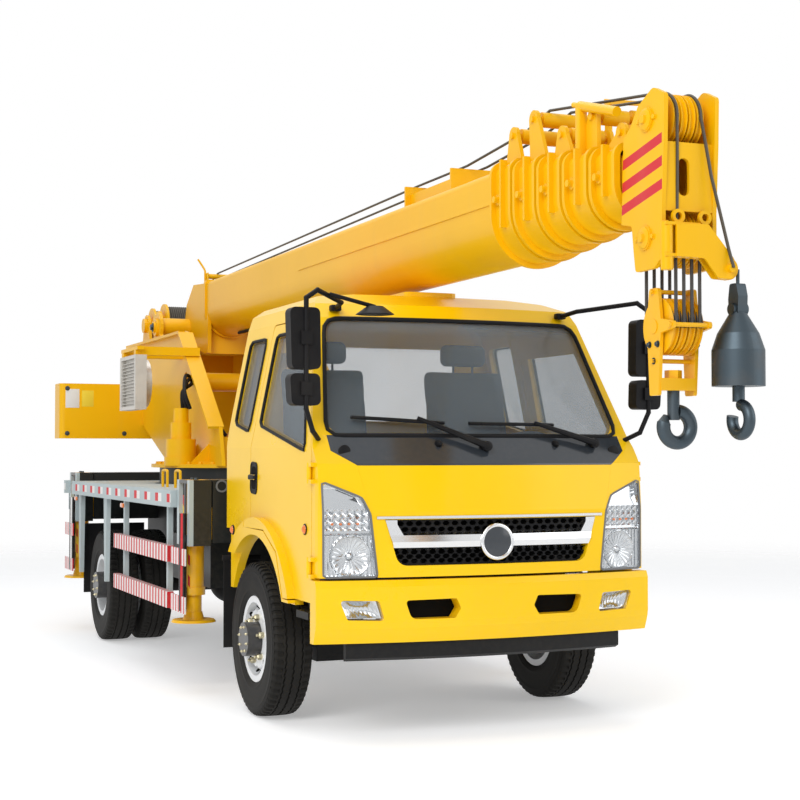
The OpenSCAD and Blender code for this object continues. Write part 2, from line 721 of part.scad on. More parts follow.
// A beam lies to the left; s sets it before or behind its neighbour
leg_bore = 46;
tube_r = 58;
tube_bottom = 560;
end_bottom = box_bottom - 15;
end_plate = 20;
short_guard = 165;
module beam(legs, s) color("gold") difference() {
    union() {
        translate([beam_x(legs, s), 0, 0])
            box([-beam_w / 2, beam_lap - beam_slide, beam_z], [beam_w / 2, box_half + 12, beam_z + beam_h]);
        translate([-legs, leg_y, 0]) {
            translate([0, 0, tube_bottom]) cylinder(r = tube_r, h = box_top - tube_bottom);
            translate([0, 0, tube_bottom]) cylinder(r = tube_r + 8, h = 45);
            // End frame with its two posts, top, foot and warning plate
            for (x = [-box_w / 2, box_w / 2 - 46])
                box([x, -leg_w / 2, end_bottom], [x + 46, leg_w / 2, box_top]);
            for (z = [end_bottom, box_top - end_plate])
                box([-box_w / 2, -leg_w / 2, z], [box_w / 2, leg_w / 2, z + end_plate]);
            box([-box_w / 2 + 30, leg_w / 2 - 30, end_bottom],
                [box_w / 2 - 30, leg_w / 2 - 22, box_top - 90]);
            // Short guards on their tube, outside the leg
            translate([60, 80, 0]) {
                translate([0, 0, guard_z[0] + 10]) cylinder(r = 22, h = box_top - 200 - guard_z[0]);
                box([-22, -40, end_bottom + 20], [22, 0, end_bottom + 60]);
            }
            for (z = guard_z) box([-short_guard, 88, z], [short_guard, 96, z + guard_h]);
        }
    }
    translate([-legs, leg_y, tube_bottom - 1])
        cylinder(r = leg_bore + fit, h = box_top - tube_bottom - end_plate);
}
foot_z = 405;
module leg(legs) color("gold") translate([-legs, leg_y, foot_z]) {
    cylinder(r = leg_bore, h = tube_bottom + 480 - foot_z);
    cylinder(r1 = foot_r, r2 = foot_r - 8, h = 14);
    translate([0, 0, 13]) cylinder(r1 = leg_bore + 16, r2 = leg_bore + 4, h = 45);
}

module tanks() color("dimgray") {
    // Fuel tank to the left, oil tank to the right, air tanks between
    box([-1650, frame_w / 2, 520], [-1150, frame_w / 2 + 420, 850]);
    box([-2350, frame_w / 2, 560], [-1760, frame_w / 2 + 380, 850]);
    mirror([0, 1, 0]) box([-2350, frame_w / 2, 560], [-1250, frame_w / 2 + 380, 850]);
}

module pedestal() color("slategray") translate([-slew_back, 0, 0]) {
    translate([0, 0, deck_z - edge_h]) difference() {
        cylinder(r = pedestal_r, h = table_z - table_t - fit - deck_z + edge_h, $fn = 96);
        translate([0, 0, 40]) cylinder(r = pedestal_r - 120, h = 500, $fn = 96);
    }
}

// Turret
boom_z = cab_top + boom_clear + boom_half;
pivot_z = boom_z - pivot_drop;
cheek_out = turret_w / 2;
cheek_in = cheek_out - cheek_t;
cheek_top = pivot_z - 90;
tail_front = -4640;
tail_rear = -4900;
tail_bottom = 1490;
tail_top = 1930;
pivot_pin_r = 45;
ear_r = 115;
winch_x = [-4575, -4990];
winch_z = pivot_z + 80;
winch_half = 300;
flange_r = 148;
luff_foot = [-3300, 1450];
luff_pin_r = 40;
luff_half = 75;
platform_z = cheek_top - 35;
platform_t = 30;
slope_foot = [-2343, 1550];
slope_head = [-3187, cheek_top - 20];
slope_t = 16;
slope_w = 75;

// A wedge shaped gusset on the slewing table, pointing along +X
module gusset(l, h) {
    plate_xz([[0, -10], [l, -10], [l, 12], [0, h]], -9, 9);
}
module turret() color("gold") {
    translate([-slew_back, 0, table_z - table_t]) {
        cylinder(r = table_r, h = table_t, $fn = 96);
        cylinder(r = table_r - 90, h = table_t + 18, $fn = 96);
    }
    both() {
        difference() {
            plate_xz([[-2265, table_z - 10], slope_foot, slope_head, [-3300, cheek_top], [-5080, cheek_top],
                [-5080, 1990], [-5020, tail_top], [tail_front, tail_top], [tail_front, 1600],
                [-3740, table_z - 10]], cheek_in, cheek_out);
            translate([-3240, 0, 1890]) rod_y(75, 0, 1000);
        }
        // Flange along the inclined front edge
        let (d = slope_head - slope_foot, n = [d.y, -d.x] / norm(d))
            plate_xz([slope_foot - n * slope_t, slope_head - n * slope_t, slope_head + n * 4,
                slope_foot + n * 4],
                cheek_in - 10, cheek_out + slope_w);
        // Edge strip under the platform
        box([-5080, cheek_out - 5, cheek_top - 20], [-3300, cheek_out + 45, cheek_top]);
        plate_xz(concat(arc([-pivot_back, pivot_z], ear_r, -30, 240, 12),
            [[-pivot_back - 160, cheek_top - 40],
            [-pivot_back + 160, cheek_top - 40]]), cheek_in, cheek_out);
        translate([-pivot_back, 0, pivot_z]) rod_y(70, cheek_out - 5, cheek_out + 20);
        translate([0, luff_half, 0]) plate_xz(concat(arc(luff_foot, 80, 0, 180, 10),
            [luff_foot + [-150, table_z - luff_foot.y], luff_foot + [150, table_z - luff_foot.y]]), 0, 32);
        for (x = winch_x) translate([x, 0, 0]) plate_xz(concat(arc([0, winch_z], 90, -10, 200, 8),
            [[-150, platform_z - 5], [150, platform_z - 5]]), winch_half + 20, winch_half + 44);
        for (x = [-2600, -2900, -3200]) translate([x, cheek_out - 5, table_z]) rotate([0, 0, 90])
            gusset(130, 150);
    }
    translate([-pivot_back, 0, pivot_z]) rod_y(pivot_pin_r, -cheek_out - 35, cheek_out + 35);
    translate([luff_foot.x, 0, luff_foot.y]) rod_y(luff_pin_r, -luff_half - 50, luff_half + 50);
    box([-5080, -cheek_in - 5, platform_z - platform_t], [-4430, cheek_in + 5, platform_z]);
    box([-5080, -cheek_in - 5, tail_top], [-5040, cheek_in + 5, platform_z - platform_t + 5]);
    translate([-3560, 0, 1910]) rod_y(70, -cheek_in - 5, cheek_in + 5);
    box([-2420, -cheek_in - 5, table_z - 10], [-2390, cheek_in + 5, 1480]);
    // Slewing drive, three stacked housings
    translate([-2750, -610, table_z - 10]) {
        cylinder(r = 115, h = 60);
        cylinder(r = 95, h = 150);
        cylinder(r = 104, h = 185);
        cylinder(r = 72, h = 300);
        cylinder(r = 52, h = 400);
    }
    // Cooler bracket
    for (x = [-3400, -3000]) box([x, -890, 2065], [x + 60, -cheek_in, 2125]);
    box([-3420, -890, 2100], [-2890, -840, 2125]);
}
module counterweight() color("gold") translate([0, 0, tail_bottom]) linear_extrude(tail_top - tail_bottom)
    polygon(rounded([[tail_rear, -tail_w / 2], [tail_front, -tail_w / 2], [tail_front, tail_w / 2],
        [tail_rear, tail_w / 2]], all(40, 4)));
cooler_x = [-3410, -2900];
fin_pitch = 24;
module oil_cooler() color("silver") {
    difference() {
        box([cooler_x[0], -900, 1680], [cooler_x[1], -820, 2065]);
        box([cooler_x[0] + 45, -901, 1705], [cooler_x[1] - 45, -868, 2040]);
    }
    for (k = [1 : 13]) box([cooler_x[0] + 40, -892, 1698 + k * fin_pitch],
        [cooler_x[1] - 40, -864, 1702 + k * fin_pitch]);
    translate([-3155, 0, 1872]) rod_y(170, -821, -760);
}
drum_r = 105;
motor_r = 70;
motor_l = 110;
module winches() color("dimgray") for (x = winch_x) translate([x, 0, winch_z]) {
    rod_y(drum_r, -winch_half, winch_half);
    for (s = [-1, 1]) translate([0, s * (winch_half - 10), 0]) rod_y(flange_r, -10, 10);
    both() rod_y(60, winch_half - 5, winch_half + 20);
    rod_y(motor_r, winch_half + 44, winch_half + 44 + motor_l);
    mirror([0, 1, 0]) rod_y(motor_r - 10, winch_half + 44, winch_half + 70);
}

// Boom
collar_gap = 9;
function half_of(i) = boom_half - i * boom_step;
function top_of(i) = half_of(i) + 18;
boom_tail = boom_front - stroke - boom_lap;
function tail_of(i) = boom_tail + 120 * i;
function front_of(i) = boom_front + i * (collar_l + collar_gap);
boom_corner = 35;
collar_t = 22;
band_t = 10;
rear_t = 34;
flange_l = 22;
pad_l = 90;

module boom_outline(w, top, r) {
    circle(r = w, $fn = 96);
    translate([-w, 0]) square([2 * w, top - r]);
    translate([-w + r, 0]) square([2 * (w - r), top]);
    for (s = [-1, 1]) translate([s * (w - r), top - r]) circle(r = r);
}
module boom_tube(w, top, wall, x0, x1) {
    translate([x0, 0, boom_z]) rotate([90, 0, 90]) linear_extrude(x1 - x0) difference() {
        boom_outline(w, top, boom_corner);
        boom_outline(w - wall, top - wall, boom_corner - wall);
    }
}
// A ring round a section that stands out by t
module collar_ring(i, t, x0, x1) {
    in = boom_wall / 2;
    translate([x0, 0, boom_z]) rotate([90, 0, 90]) linear_extrude(x1 - x0) difference() {
        boom_outline(half_of(i) + t, top_of(i) + t, boom_corner + t);
        boom_outline(half_of(i) - in, top_of(i) - in, boom_corner - in);
    }
}
// One telescope section with its collar and the pads that carry the next one
module section(i) {
    w = half_of(i);
    top = top_of(i);
    boom_tube(w, top, boom_wall, tail_of(i), front_of(i));
    rear = front_of(i) - collar_l;
    collar_ring(i, band_t, rear + 5, front_of(i) - 5);
    collar_ring(i, rear_t, rear, rear + flange_l);
    collar_ring(i, collar_t, front_of(i) - flange_l, front_of(i) - 1);
    both() {
        // Side rib with the bolt boss of the pads
        box([rear + 96, w - 2, boom_z - w / 3], [rear + 112, w + rear_t - 4, boom_z + top + rear_t - 10]);
        translate([rear + 58, 0, boom_z + w / 3]) {
            rod_y(26, w - 2, w + 20);
            rod_y(15, w, w + 42);
        }
    }
    translate([front_of(i) - pad_l, 0, boom_z]) intersection() {
        rotate([90, 0, 90]) linear_extrude(pad_l) difference() {
            circle(r = w - boom_wall / 2, $fn = 96);
            circle(r = half_of(i + 1) + fit, $fn = 96);
        }
        box([0, -w / 2, -w], [pad_l, w / 2, -w / 2]);
    }
}
ear_t = 18;
ear_r_top = 40;
// A pair of ears that carry a rope roller over a collar; x and h place the roller
module collar_ears(i, x, h) {
    foot = front_of(i) - collar_l / 2;
    z = boom_z + top_of(i);
    y = half_of(i) - 45;
    both() plate_xz(concat(arc([foot + x, z + h - ear_r_top], ear_r_top, 0, 180, 10),
        [[foot - 72, z + rear_t], [foot - 72, z - 5], [foot + 72, z - 5], [foot + 72, z + rear_t]]),
            y - ear_t, y);
    translate([foot + x, 0, z + h - ear_r_top]) {
        rod_y(15, -y - 12, y + 12);
        rod_y(34, -y + 40, y - 40);
    }
}
root_points = [[boom_tail + 80, boom_z + 200], [boom_tail - 350, boom_z + 228],
    [-pivot_back - 50, boom_z + 88],
    [-pivot_back - 122, boom_z - 82], [-pivot_back - 85, boom_z - 184], [-pivot_back + 90, boom_z - 226],
    [boom_tail - 20, boom_z - 330], [boom_tail + 80, boom_z - 330]];
luff_eye = [-1350, boom_z - 292];
rest_x = [205, 800];
module boom_base() color("gold") {
    section(0);
    difference() {
        union() {
            both() plate_xz(root_points, boom_half - 28, boom_half);
            translate([-pivot_back, 0, pivot_z]) rod_y(75, -cheek_in + 5, cheek_in - 5);
        }
        translate([-pivot_back, 0, pivot_z]) rod_y(pivot_pin_r + fit / 6, -1000, 1000);
    }
    box([boom_tail - 20, -boom_half, boom_z - 330], [boom_tail, boom_half, boom_z - 150]);
    boom_tube(boom_half + 14, top_of(0) + 14, 14 + boom_wall, boom_tail, boom_tail + 40);
    // Rope guide on the boom's top, a shallow channel with raised ends
    translate([0, 0, boom_z + top_of(0)]) {
        both() box([rest_x[0], 96, -5], [rest_x[1], 110, 78]);
        for (x = rest_x) box([x - 8, -140, -5], [x + 8, 140, 120]);
        translate([rest_x[1] - 60, 0, 60]) rod_y(26, -100, 100);
    }
    // Doubling plate along the upper side
    both() box([-1400, boom_half - 2, boom_z + 60],
        [front_of(0) - collar_l + 5, boom_half + 6, boom_z + top_of(0) - 40]);
    difference() {
        both() plate_xz([[luff_eye.x - 200, boom_z - 150], [luff_eye.x - 70, luff_eye.y - 60],
            [luff_eye.x + 70, luff_eye.y - 60], [luff_eye.x + 200, boom_z - 150]], 62, 88);
        translate([luff_eye.x - 300, 0, boom_z]) rotate([90, 0, 90]) linear_extrude(600)
            boom_outline(boom_half - boom_wall / 2, top_of(0), boom_corner);
    }
    collar_ears(0, -7, 182);
}
module boom_second() color("gold") {
    section(1);
    collar_ears(1, -41, 245);
}
module boom_third() color("gold") {
    section(2);
    collar_ears(2, -9, 150);
}
module boom_fourth() color("gold") {
    section(3);
    collar_ears(3, 31, 202);
}
module boom_fifth() color("gold") {
    section(4);
    collar_ears(4, 32, 115);
}
head_half = half_of(5) - 4;
head_t = 18;
head_x = front_of(5) - collar_l;
sheave_low = [head_x + 182, boom_z - 247];
sheave_high = [head_x + 198, boom_z + 216];
hook_x = sheave_low.x;
rope_r = 7;
head_sheave_r = 100;
sheave_w = 26;
sheave_y = [-54, -18, 18, 54];
head_points = [[2, -172], [20, 169], [73, 209], [132, 281], [243, 335], [326, 295], [320, 101], [303, -158],
    [303, -330], [246, -372], [108, -374], [95, -298], [80, -187]];
jib_x = head_x + 332;
jib_z = boom_z - 372;
jib_sheave_r = 44;
jib_sheave = [jib_x, 149, jib_z];
ball_r = 103;
// A rope sheave with its groove, axle along Y
module sheave(p, r, y0, y1) {
    m = (y0 + y1) / 2;
    h = (y1 - y0) / 2;
    translate([p.x, 0, p.y]) rotate([-90, 0, 0]) rotate_extrude($fn = 64)
        polygon([[0, m - h], [r + 12, m - h], [r + 12, m - h + 3], [r, m - 7.5], [r, m + 7.5],
            [r + 12, m + h - 3],
            [r + 12, m + h], [0, m + h]]);
}
module axle(p, r, y0, y1) {
    translate([p.x, 0, p.y]) rod_y(r, y0, y1);
}
slot_r = 25;
cover_t = 16;
module boom_sixth() color("gold") {
    boom_tube(half_of(5), top_of(5), boom_wall, tail_of(5), head_x + 120);
    both() translate([head_x, 0, boom_z]) plate_xz(rounded(head_points,
        [0, 15, 20, 30, 40, 20, 0, 0, 30, 20, 15, 30, 15]), head_half, head_half + head_t);
    both() box([head_x + 20, half_of(5) - boom_wall, boom_z - 60],
        [head_x + 110, head_half + head_t, boom_z + 110]);
    // Front cover with its slot, and the cap between the plates
    translate([head_x + 286, 0, boom_z]) rotate([90, 0, 90]) linear_extrude(cover_t) difference() {
        translate([-head_half - 5, -153]) square([2 * head_half + 10, 268]);
        translate([-23 - slot_r, -68]) square([2 * slot_r, 96]);
        translate([-23, -68]) circle(r = slot_r);
        translate([-23, 28]) circle(r = slot_r);
    }
    translate([head_x, 0, boom_z])
        plate_xz([[70, 198], [132, 272], [128, 284], [60, 204]], -head_half - 5, head_half + 5);
    for (y = sheave_y) {
        sheave(sheave_low, head_sheave_r, y - sheave_w / 2, y + sheave_w / 2);
        sheave(sheave_high, head_sheave_r - 6, y - sheave_w / 2, y + sheave_w / 2);
    }
    for (p = [sheave_low, sheave_high]) {
        axle(p, 30, -head_half - 30, head_half + 30);
        both() axle(p, 48, head_half + head_t - 5, head_half + head_t + 8);
    }
    side_jib();
}
// Side jib folded across the head, on its hinge tube
module side_jib() translate([jib_x, 0, jib_z]) {
    bracket = head_x + 270 - jib_x;
    translate([-6, -head_half - 10, -14]) cylinder(r = 24, h = 182);
    for (z = [36, 157]) {
        box([-24, -head_half - 30, z], [19, 20, z + 12]);
        box([bracket, -head_half - head_t, z - 8], [-10, -head_half, z + 20]);
    }
    for (x = [-24, 14]) plate_yz(rounded([[-90, 37], [-90, 160], [52, 166], [165, 42], [186, 2],
        [160, -42], [95, -40],
        [36, 34]], [0, 0, 20, 0, 20, 25, 20, 15]), x, x + 10);
    // Lifting eyes
    for (y = [-60, 60]) translate([-22, y, 196]) rotate([90, 0, 90]) difference() {
        union() {
            cylinder(r = 28, h = 14);
            translate([-14, -45, 0]) cube([28, 45, 14]);
        }
        translate([0, 0, -1]) cylinder(r = 15, h = 16);
    }
    translate([0, jib_sheave.y, 0]) {
        rod_x(jib_sheave_r, -13.5, 13.5);
        rod_x(16, -44, 44);
    }
}

// Luffing cylinder
luff_run = luff_eye - luff_foot;
luff_len = norm(luff_run);
luff_tilt = atan2(luff_run.y, luff_run.x);
barrel_r = 70;
luff_rod_r = 45;
barrel_l = luff_len - 110;
module along_luff() {
    translate([luff_foot.x, 0, luff_foot.y]) rotate([0, -luff_tilt, 0]) children();
}
module luff_barrel() color("gold") along_luff() difference() {
    union() {
        rod_x(barrel_r, 0, barrel_l);
        rod_y(barrel_r, -luff_half + fit, luff_half - fit);
        rod_x(barrel_r + 12, barrel_l - 60, barrel_l);
    }
    rod_x(luff_rod_r + fit, 190, barrel_l + 1);
    rod_y(luff_pin_r + fit / 6, -200, 200);
}
module luff_rod() color("silver") along_luff() {
    rod_x(luff_rod_r, 220, luff_len - 30);
    translate([luff_len, 0, 0]) rod_y(58, -56, 56);
}

// Hooks
block_top = sheave_low.y - 195;
block_z = block_top - 150;
block_bottom = block_top - 420;
block_in = 74;
block_out = 88;
rod_r = 9;
rod_out = 15 + head_sheave_r + 12;
module hook_block() color("gold") translate([hook_x, 0, 0]) {
    both() plate_xz(rounded([[-32, block_bottom], [32, block_bottom], [50, block_z - 28],
        [rod_out + 14, block_z - 12],
        [rod_out + 14, block_z + 12], [50, block_z + 28], [32, block_top], [-32, block_top], [-50, block_z]],
        [10, 10, 0, 10, 10, 0, 14, 14, 30]), block_in, block_out);
    for (y = sheave_y) {
        sheave([0, block_z], head_sheave_r, y - sheave_w / 2, y + sheave_w / 2);
        for (s = [-1, 1]) translate([s * (head_sheave_r + rope_r + fit), y, block_z])
            cylinder(r = rope_r, h = sheave_low.y - block_z);
    }
    axle([0, block_z], 28, -block_out - 4, block_out + 4);
    for (q = [[0, block_top - 14], [rod_out, block_z], [0, block_top - 285]])
        axle(q, rod_r, -block_out - 14, block_out + 4);
    // Crosshead with the hook's nut
    box([-38, -block_in - 5, block_bottom + 20], [38, block_in + 5, block_bottom + 68]);
    translate([0, 0, block_bottom + 60]) cylinder(r = 34, h = 40, $fn = 6);
}
throat_r = 62;
hook_r = 27;
hook_turn = 165;
module hook() color("gray") translate([hook_x, 0, 0]) {
    translate([0, 0, block_bottom - 95]) cylinder(r = 24, h = 115 - fit);
    translate([0, 16, block_bottom - 122]) rotate([90, 0, 90]) rotate([0, 0, hook_turn]) {
        rotate_extrude(angle = 450 - hook_turn) translate([throat_r, 0]) circle(r = hook_r);
        translate([throat_r, 2, 0]) rotate([90, 0, 0]) cylinder(r1 = hook_r - 1, r2 = 9, h = 34);
    }
}
ball_bottom = jib_z - 455;
module ball_hook() color("gray") translate([jib_x, jib_sheave.y + jib_sheave_r + rope_r + fit, 0]) {
    translate([0, 0, ball_bottom + 380]) cylinder(r = rope_r, h = jib_z - ball_bottom - 380);
    translate([0, 0, ball_bottom]) rotate_extrude($fn = 64) polygon([[0, 0], [ball_r, 0], [ball_r, 140],
        [ball_r - 22, 205], [30, 290], [0, 290]]);
    // Wedge socket of the rope
    translate([0, 0, ball_bottom + 280])
        plate_xz(rounded([[-30, 0], [30, 0], [34, 70], [20, 120], [-24, 120], [-34, 60]],
        all(12, 6)), -22, 22);
    translate([0, 0, ball_bottom + 300]) rod_y(24, -34, 34);
    // Hook, seen edge on
    translate([0, 0, ball_bottom - 60]) cylinder(r = 24, h = 70);
    translate([14, 0, ball_bottom - 130]) rotate([90, 0, 0]) rotate([0, 0, hook_turn])
        rotate_extrude(angle = 450 - hook_turn) translate([throat_r - 5, 0]) circle(r = hook_r - 4);
}

// The origin lies under the middle of the whole length, from the ball hook to the rear winch
origin_x = (jib_x + ball_r + min(winch_x) - flange_r) / 2;
module left() {
    placed() children();
}
module right() {
    placed() mirror([0, 1, 0]) children();
}
placed() frame();
placed() front_axle();
placed() rear_axle();
placed() engine();
placed() cab_floor();
placed() cab_shell();
placed() cab_glass();
placed() front_panel();
placed() cowl();
placed() grille();
placed() grille_trim();
placed() lamps();
placed() bumper();
placed() wheel_arches();
placed() mirrors();
placed() seats();
placed() dashboard();
placed() deck();
placed() side_guards();
placed() outrigger_boxes();
placed() tanks();
placed() pedestal();
right() door();  // door_right
right() door_glass();  // door_right_glass
left() door();  // door_left
left() door_glass();  // door_left_glass
right() knuckle();  // knuckle_right
right() front_wheel_rim();  // rim_front_right
right() front_wheel_tyre();  // tyre_front_right
left() knuckle();  // knuckle_left
left() front_wheel_rim();  // rim_front_left
left() front_wheel_tyre();  // tyre_front_left
right() rear_wheel_rims();  // rim_rear_right
right() rear_wheel_tyres();  // tyres_rear_right
left() rear_wheel_rims();  // rim_rear_left
left() rear_wheel_tyres();  // tyres_rear_left
right() beam(front_legs, 1);  // beam_front_right
left() beam(front_legs, -1);  // beam_front_left
right() beam(rear_legs, 1);  // beam_rear_right
left() beam(rear_legs, -1);  // beam_rear_left
right() leg(front_legs);  // leg_front_right
left() leg(front_legs);  // leg_front_left
right() leg(rear_legs);  // leg_rear_right
left() leg(rear_legs);  // leg_rear_left
placed() turret();
placed() counterweight();
placed() oil_cooler();
placed() winches();
placed() boom_base();
placed() boom_second();
placed() boom_third();
placed() boom_fourth();
placed() boom_fifth();
placed() boom_sixth();
placed() luff_barrel();
placed() luff_rod();
placed() hook_block();
placed() hook();
placed() ball_hook();
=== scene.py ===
"""Looks of a light truck crane: the finish of every solid, tread, rigging, cab trim and deck fittings.

Lengths are metres in the part's own frame: +X forward, +Y to the left, +Z up, ground at Z = 0.
Places along the vehicle are given from the front axle, as on a workshop drawing.
"""

import logging
import math
from dataclasses import dataclass, field
from enum import Enum
from typing import Any, Sequence

import bpy
import numpy as np
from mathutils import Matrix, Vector


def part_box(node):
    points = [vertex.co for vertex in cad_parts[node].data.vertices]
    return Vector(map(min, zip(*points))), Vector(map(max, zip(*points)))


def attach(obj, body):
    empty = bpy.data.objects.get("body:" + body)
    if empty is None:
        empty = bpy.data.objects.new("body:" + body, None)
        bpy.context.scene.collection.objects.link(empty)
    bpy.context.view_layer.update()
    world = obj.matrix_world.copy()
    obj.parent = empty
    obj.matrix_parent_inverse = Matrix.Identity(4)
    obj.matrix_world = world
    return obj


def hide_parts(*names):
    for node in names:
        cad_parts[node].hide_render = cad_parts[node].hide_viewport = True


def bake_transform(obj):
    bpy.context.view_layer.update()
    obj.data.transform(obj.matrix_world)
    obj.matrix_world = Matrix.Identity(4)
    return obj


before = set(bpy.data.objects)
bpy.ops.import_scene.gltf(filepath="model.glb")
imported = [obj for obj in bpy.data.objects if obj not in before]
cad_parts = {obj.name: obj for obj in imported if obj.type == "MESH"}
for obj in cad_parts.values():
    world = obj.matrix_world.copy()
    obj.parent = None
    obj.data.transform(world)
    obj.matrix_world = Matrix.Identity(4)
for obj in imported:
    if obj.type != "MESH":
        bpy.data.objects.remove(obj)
LOG = logging.getLogger("truck_crane")
Array = np.ndarray
Colour = tuple[float, float, float]

HANDS = ("right", "left")
HOOK_X = 2.620
SLEW_X = -3.0
AXLE_Z = 0.402
HALF_WHEELBASE = 1.8
JACK_X = {"front": -0.9, "rear": -4.34}


def middle(node: str) -> Vector:
    """The centre of a solid's box."""
    low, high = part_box(node)
    return (low + high) / 2


FRONT_AXLE = middle("tyre_front_right").x


def ahead(x: float) -> float:
    """The frame's X of a place given ahead of the front axle."""
    return FRONT_AXLE + x


class Axis(Enum):
    """The direction that a turned or extruded shape runs along."""

    X = 0
    Y = 1
    Z = 2

    def order(self, along: Array, across: Array, up: Array) -> Array:
        """Sets local (along, across, up) columns in the frame's X, Y, Z order.

        Args:
            along: coordinates along this axis.
            across: the first coordinate of the cross section.
            up: the second coordinate of the cross section.

        Returns:
            Points with a last axis of 3.
        """
        sets = {Axis.X: (along, across, up), Axis.Y: (across, along, up), Axis.Z: (across, up, along)}
        return np.stack(np.broadcast_arrays(*sets[self]), axis=-1)


@dataclass
class Shape:
    """A surface as whole arrays: points in rows, four-sided faces and three-sided faces."""

    points: Array
    quads: Array
    tris: Array

    @staticmethod
    def grid(points: Array, wrap: bool = False, caps: bool = False, loop: bool = False) -> "Shape":
        """Joins a grid of points (rows, columns, 3) to their neighbours.

        Args:
            points: the surface sampled at its two parameters.
            wrap: joins the last column to the first.
            caps: closes the first and last rows with fans to their middles.
            loop: joins the last row to the first.

        Returns:
            The surface, facing outwards where it is closed.
        """
        rows, cols = points.shape[:2]
        index = np.arange(rows * cols).reshape(rows, cols)
        index = np.concatenate([index, index[:, :1]], axis=1) if wrap else index
        index = np.concatenate([index, index[:1]], axis=0) if loop else index
        quads = np.stack([index[:-1, :-1], index[:-1, 1:], index[1:, 1:], index[1:, :-1]], axis=-1)
        flat, tris = points.reshape(-1, 3), np.zeros((0, 3), int)
        if caps:
            ends = np.stack([points[0].mean(0), points[-1].mean(0)])
            first, last = rows * cols, rows * cols + 1
            ring = np.arange(cols)
            after = np.roll(ring, -1)
            back = (rows - 1) * cols
            tris = np.concatenate([
                np.stack([np.full(cols, first), after, ring], axis=-1),
                np.stack([np.full(cols, last), ring + back, after + back], axis=-1),
            ])
            flat = np.concatenate([flat, ends])
        return Shape(flat, quads.reshape(-1, 4), tris).outward()

    def outward(self) -> "Shape":
        """Turns the faces over if the volume that they enclose comes out negative.

        Returns:
            The surface, facing outwards.
        """
        fans = np.concatenate([self.quads[:, [0, 1, 2]], self.quads[:, [0, 2, 3]], self.tris])
        a, b, c = (self.points[fans[:, k]] for k in range(3))
        if np.einsum("ij,ij->", a - self.points.mean(0), np.cross(b - a, c - a)) < 0:
            return Shape(self.points, self.quads[:, ::-1], self.tris[:, ::-1])
        return self

    def moved(self, x: float = 0.0, y: float = 0.0, z: float = 0.0) -> "Shape":
        """The same surface, shifted."""
        return Shape(self.points + np.array([x, y, z]), self.quads, self.tris)

    def turned(self, axis: Axis, degrees: float) -> "Shape":
        """The same surface, turned about an axis through the origin."""
        return self.spun(axis, np.array([degrees]))

    def mirrored(self) -> "Shape":
        """The same surface on the other side of the vehicle's middle plane."""
        flipped = self.points * np.array([1, -1, 1])
        return Shape(flipped, self.quads[:, ::-1], self.tris[:, ::-1])

    def both_sides(self) -> "Shape":
        """The surface and its mirror image."""
        return joined([self, self.mirrored()])

    def on(self, hand: str) -> "Shape":
        """A surface made for the left side, carried to the given hand."""
        return self if hand == "left" else self.mirrored()

    def copies(self, offsets: Array) -> "Shape":
        """One copy at each of the offsets (count, 3)."""
        return self._repeated(self.points[None] + np.asarray(offsets, float).reshape(-1, 1, 3))

    def spun(self, axis: Axis, degrees: Array) -> "Shape":
        """One copy at each of the angles about an axis through the origin.

        Args:
            axis: what the copies turn about.
            degrees: an angle for each copy.

        Returns:
            All copies as one surface.
        """
        turn = np.radians(np.asarray(degrees, float))
        i, j = [(1, 2), (2, 0), (0, 1)][axis.value]
        spread = np.repeat(self.points[None], len(turn), axis=0)
        a, b = spread[:, :, i].copy(), spread[:, :, j].copy()
        cos, sin = np.cos(turn)[:, None], np.sin(turn)[:, None]
        spread[:, :, i], spread[:, :, j] = a * cos - b * sin, a * sin + b * cos
        return self._repeated(spread)

    def _repeated(self, spread: Array) -> "Shape":
        """This surface's faces on each set of points (count, points, 3)."""
        step = (np.arange(len(spread)) * len(self.points))[:, None, None]
        return Shape(spread.reshape(-1, 3), (self.quads[None] + step).reshape(-1, 4),
                     (self.tris[None] + step).reshape(-1, 3))


def joined(shapes: Sequence[Shape]) -> Shape:
    """Sets surfaces together, each one's faces counted on from the points before it.

    Args:
        shapes: the surfaces.

    Returns:
        All of them as one.
    """
    starts = np.cumsum([0] + [len(s.points) for s in shapes])
    return Shape(np.concatenate([s.points for s in shapes]),
                 np.concatenate([s.quads + k for s, k in zip(shapes, starts)]),
                 np.concatenate([s.tris + k for s, k in zip(shapes, starts)]))


def turned_rows(profile: Sequence[tuple[float, float]], axis: Axis, steps: int) -> Array:
    """Carries an (along, radius) profile round an axis: at each angle the radius times its cosine and sine.

    Args:
        profile: the outline's points, in order.
        axis: the axis of the turned piece.
        steps: how many times the profile is repeated in a full turn.

    Returns:
        Points (profile, steps, 3).
    """
    along, radius = np.array(profile, float).T
    angle = np.linspace(0, 2 * np.pi, steps, endpoint=False)
    return axis.order(along[:, None] + 0 * angle, radius[:, None] * np.cos(angle), radius[:, None] * np.sin(angle))


def revolve(profile: Sequence[tuple[float, float]], axis: Axis = Axis.Z, steps: int = 32) -> Shape:
    """A closed profile of (along, radius) points carried round an axis.

    Args:
        profile: the outline's points, in order, as a closed loop.
        axis: the axis of the turned piece.
        steps: how many times the profile is repeated in a full turn.

    Returns:
        The turned surface about the origin.
    """
    return Shape.grid(turned_rows(profile, axis, steps), wrap=True, loop=True)


def disc(profile: Sequence[tuple[float, float]], axis: Axis = Axis.Z, steps: int = 32) -> Shape:
    """An open (along, radius) profile carried round an axis and closed at both ends, as revolve() takes them."""
    return Shape.grid(turned_rows(profile, axis, steps), wrap=True, caps=True)


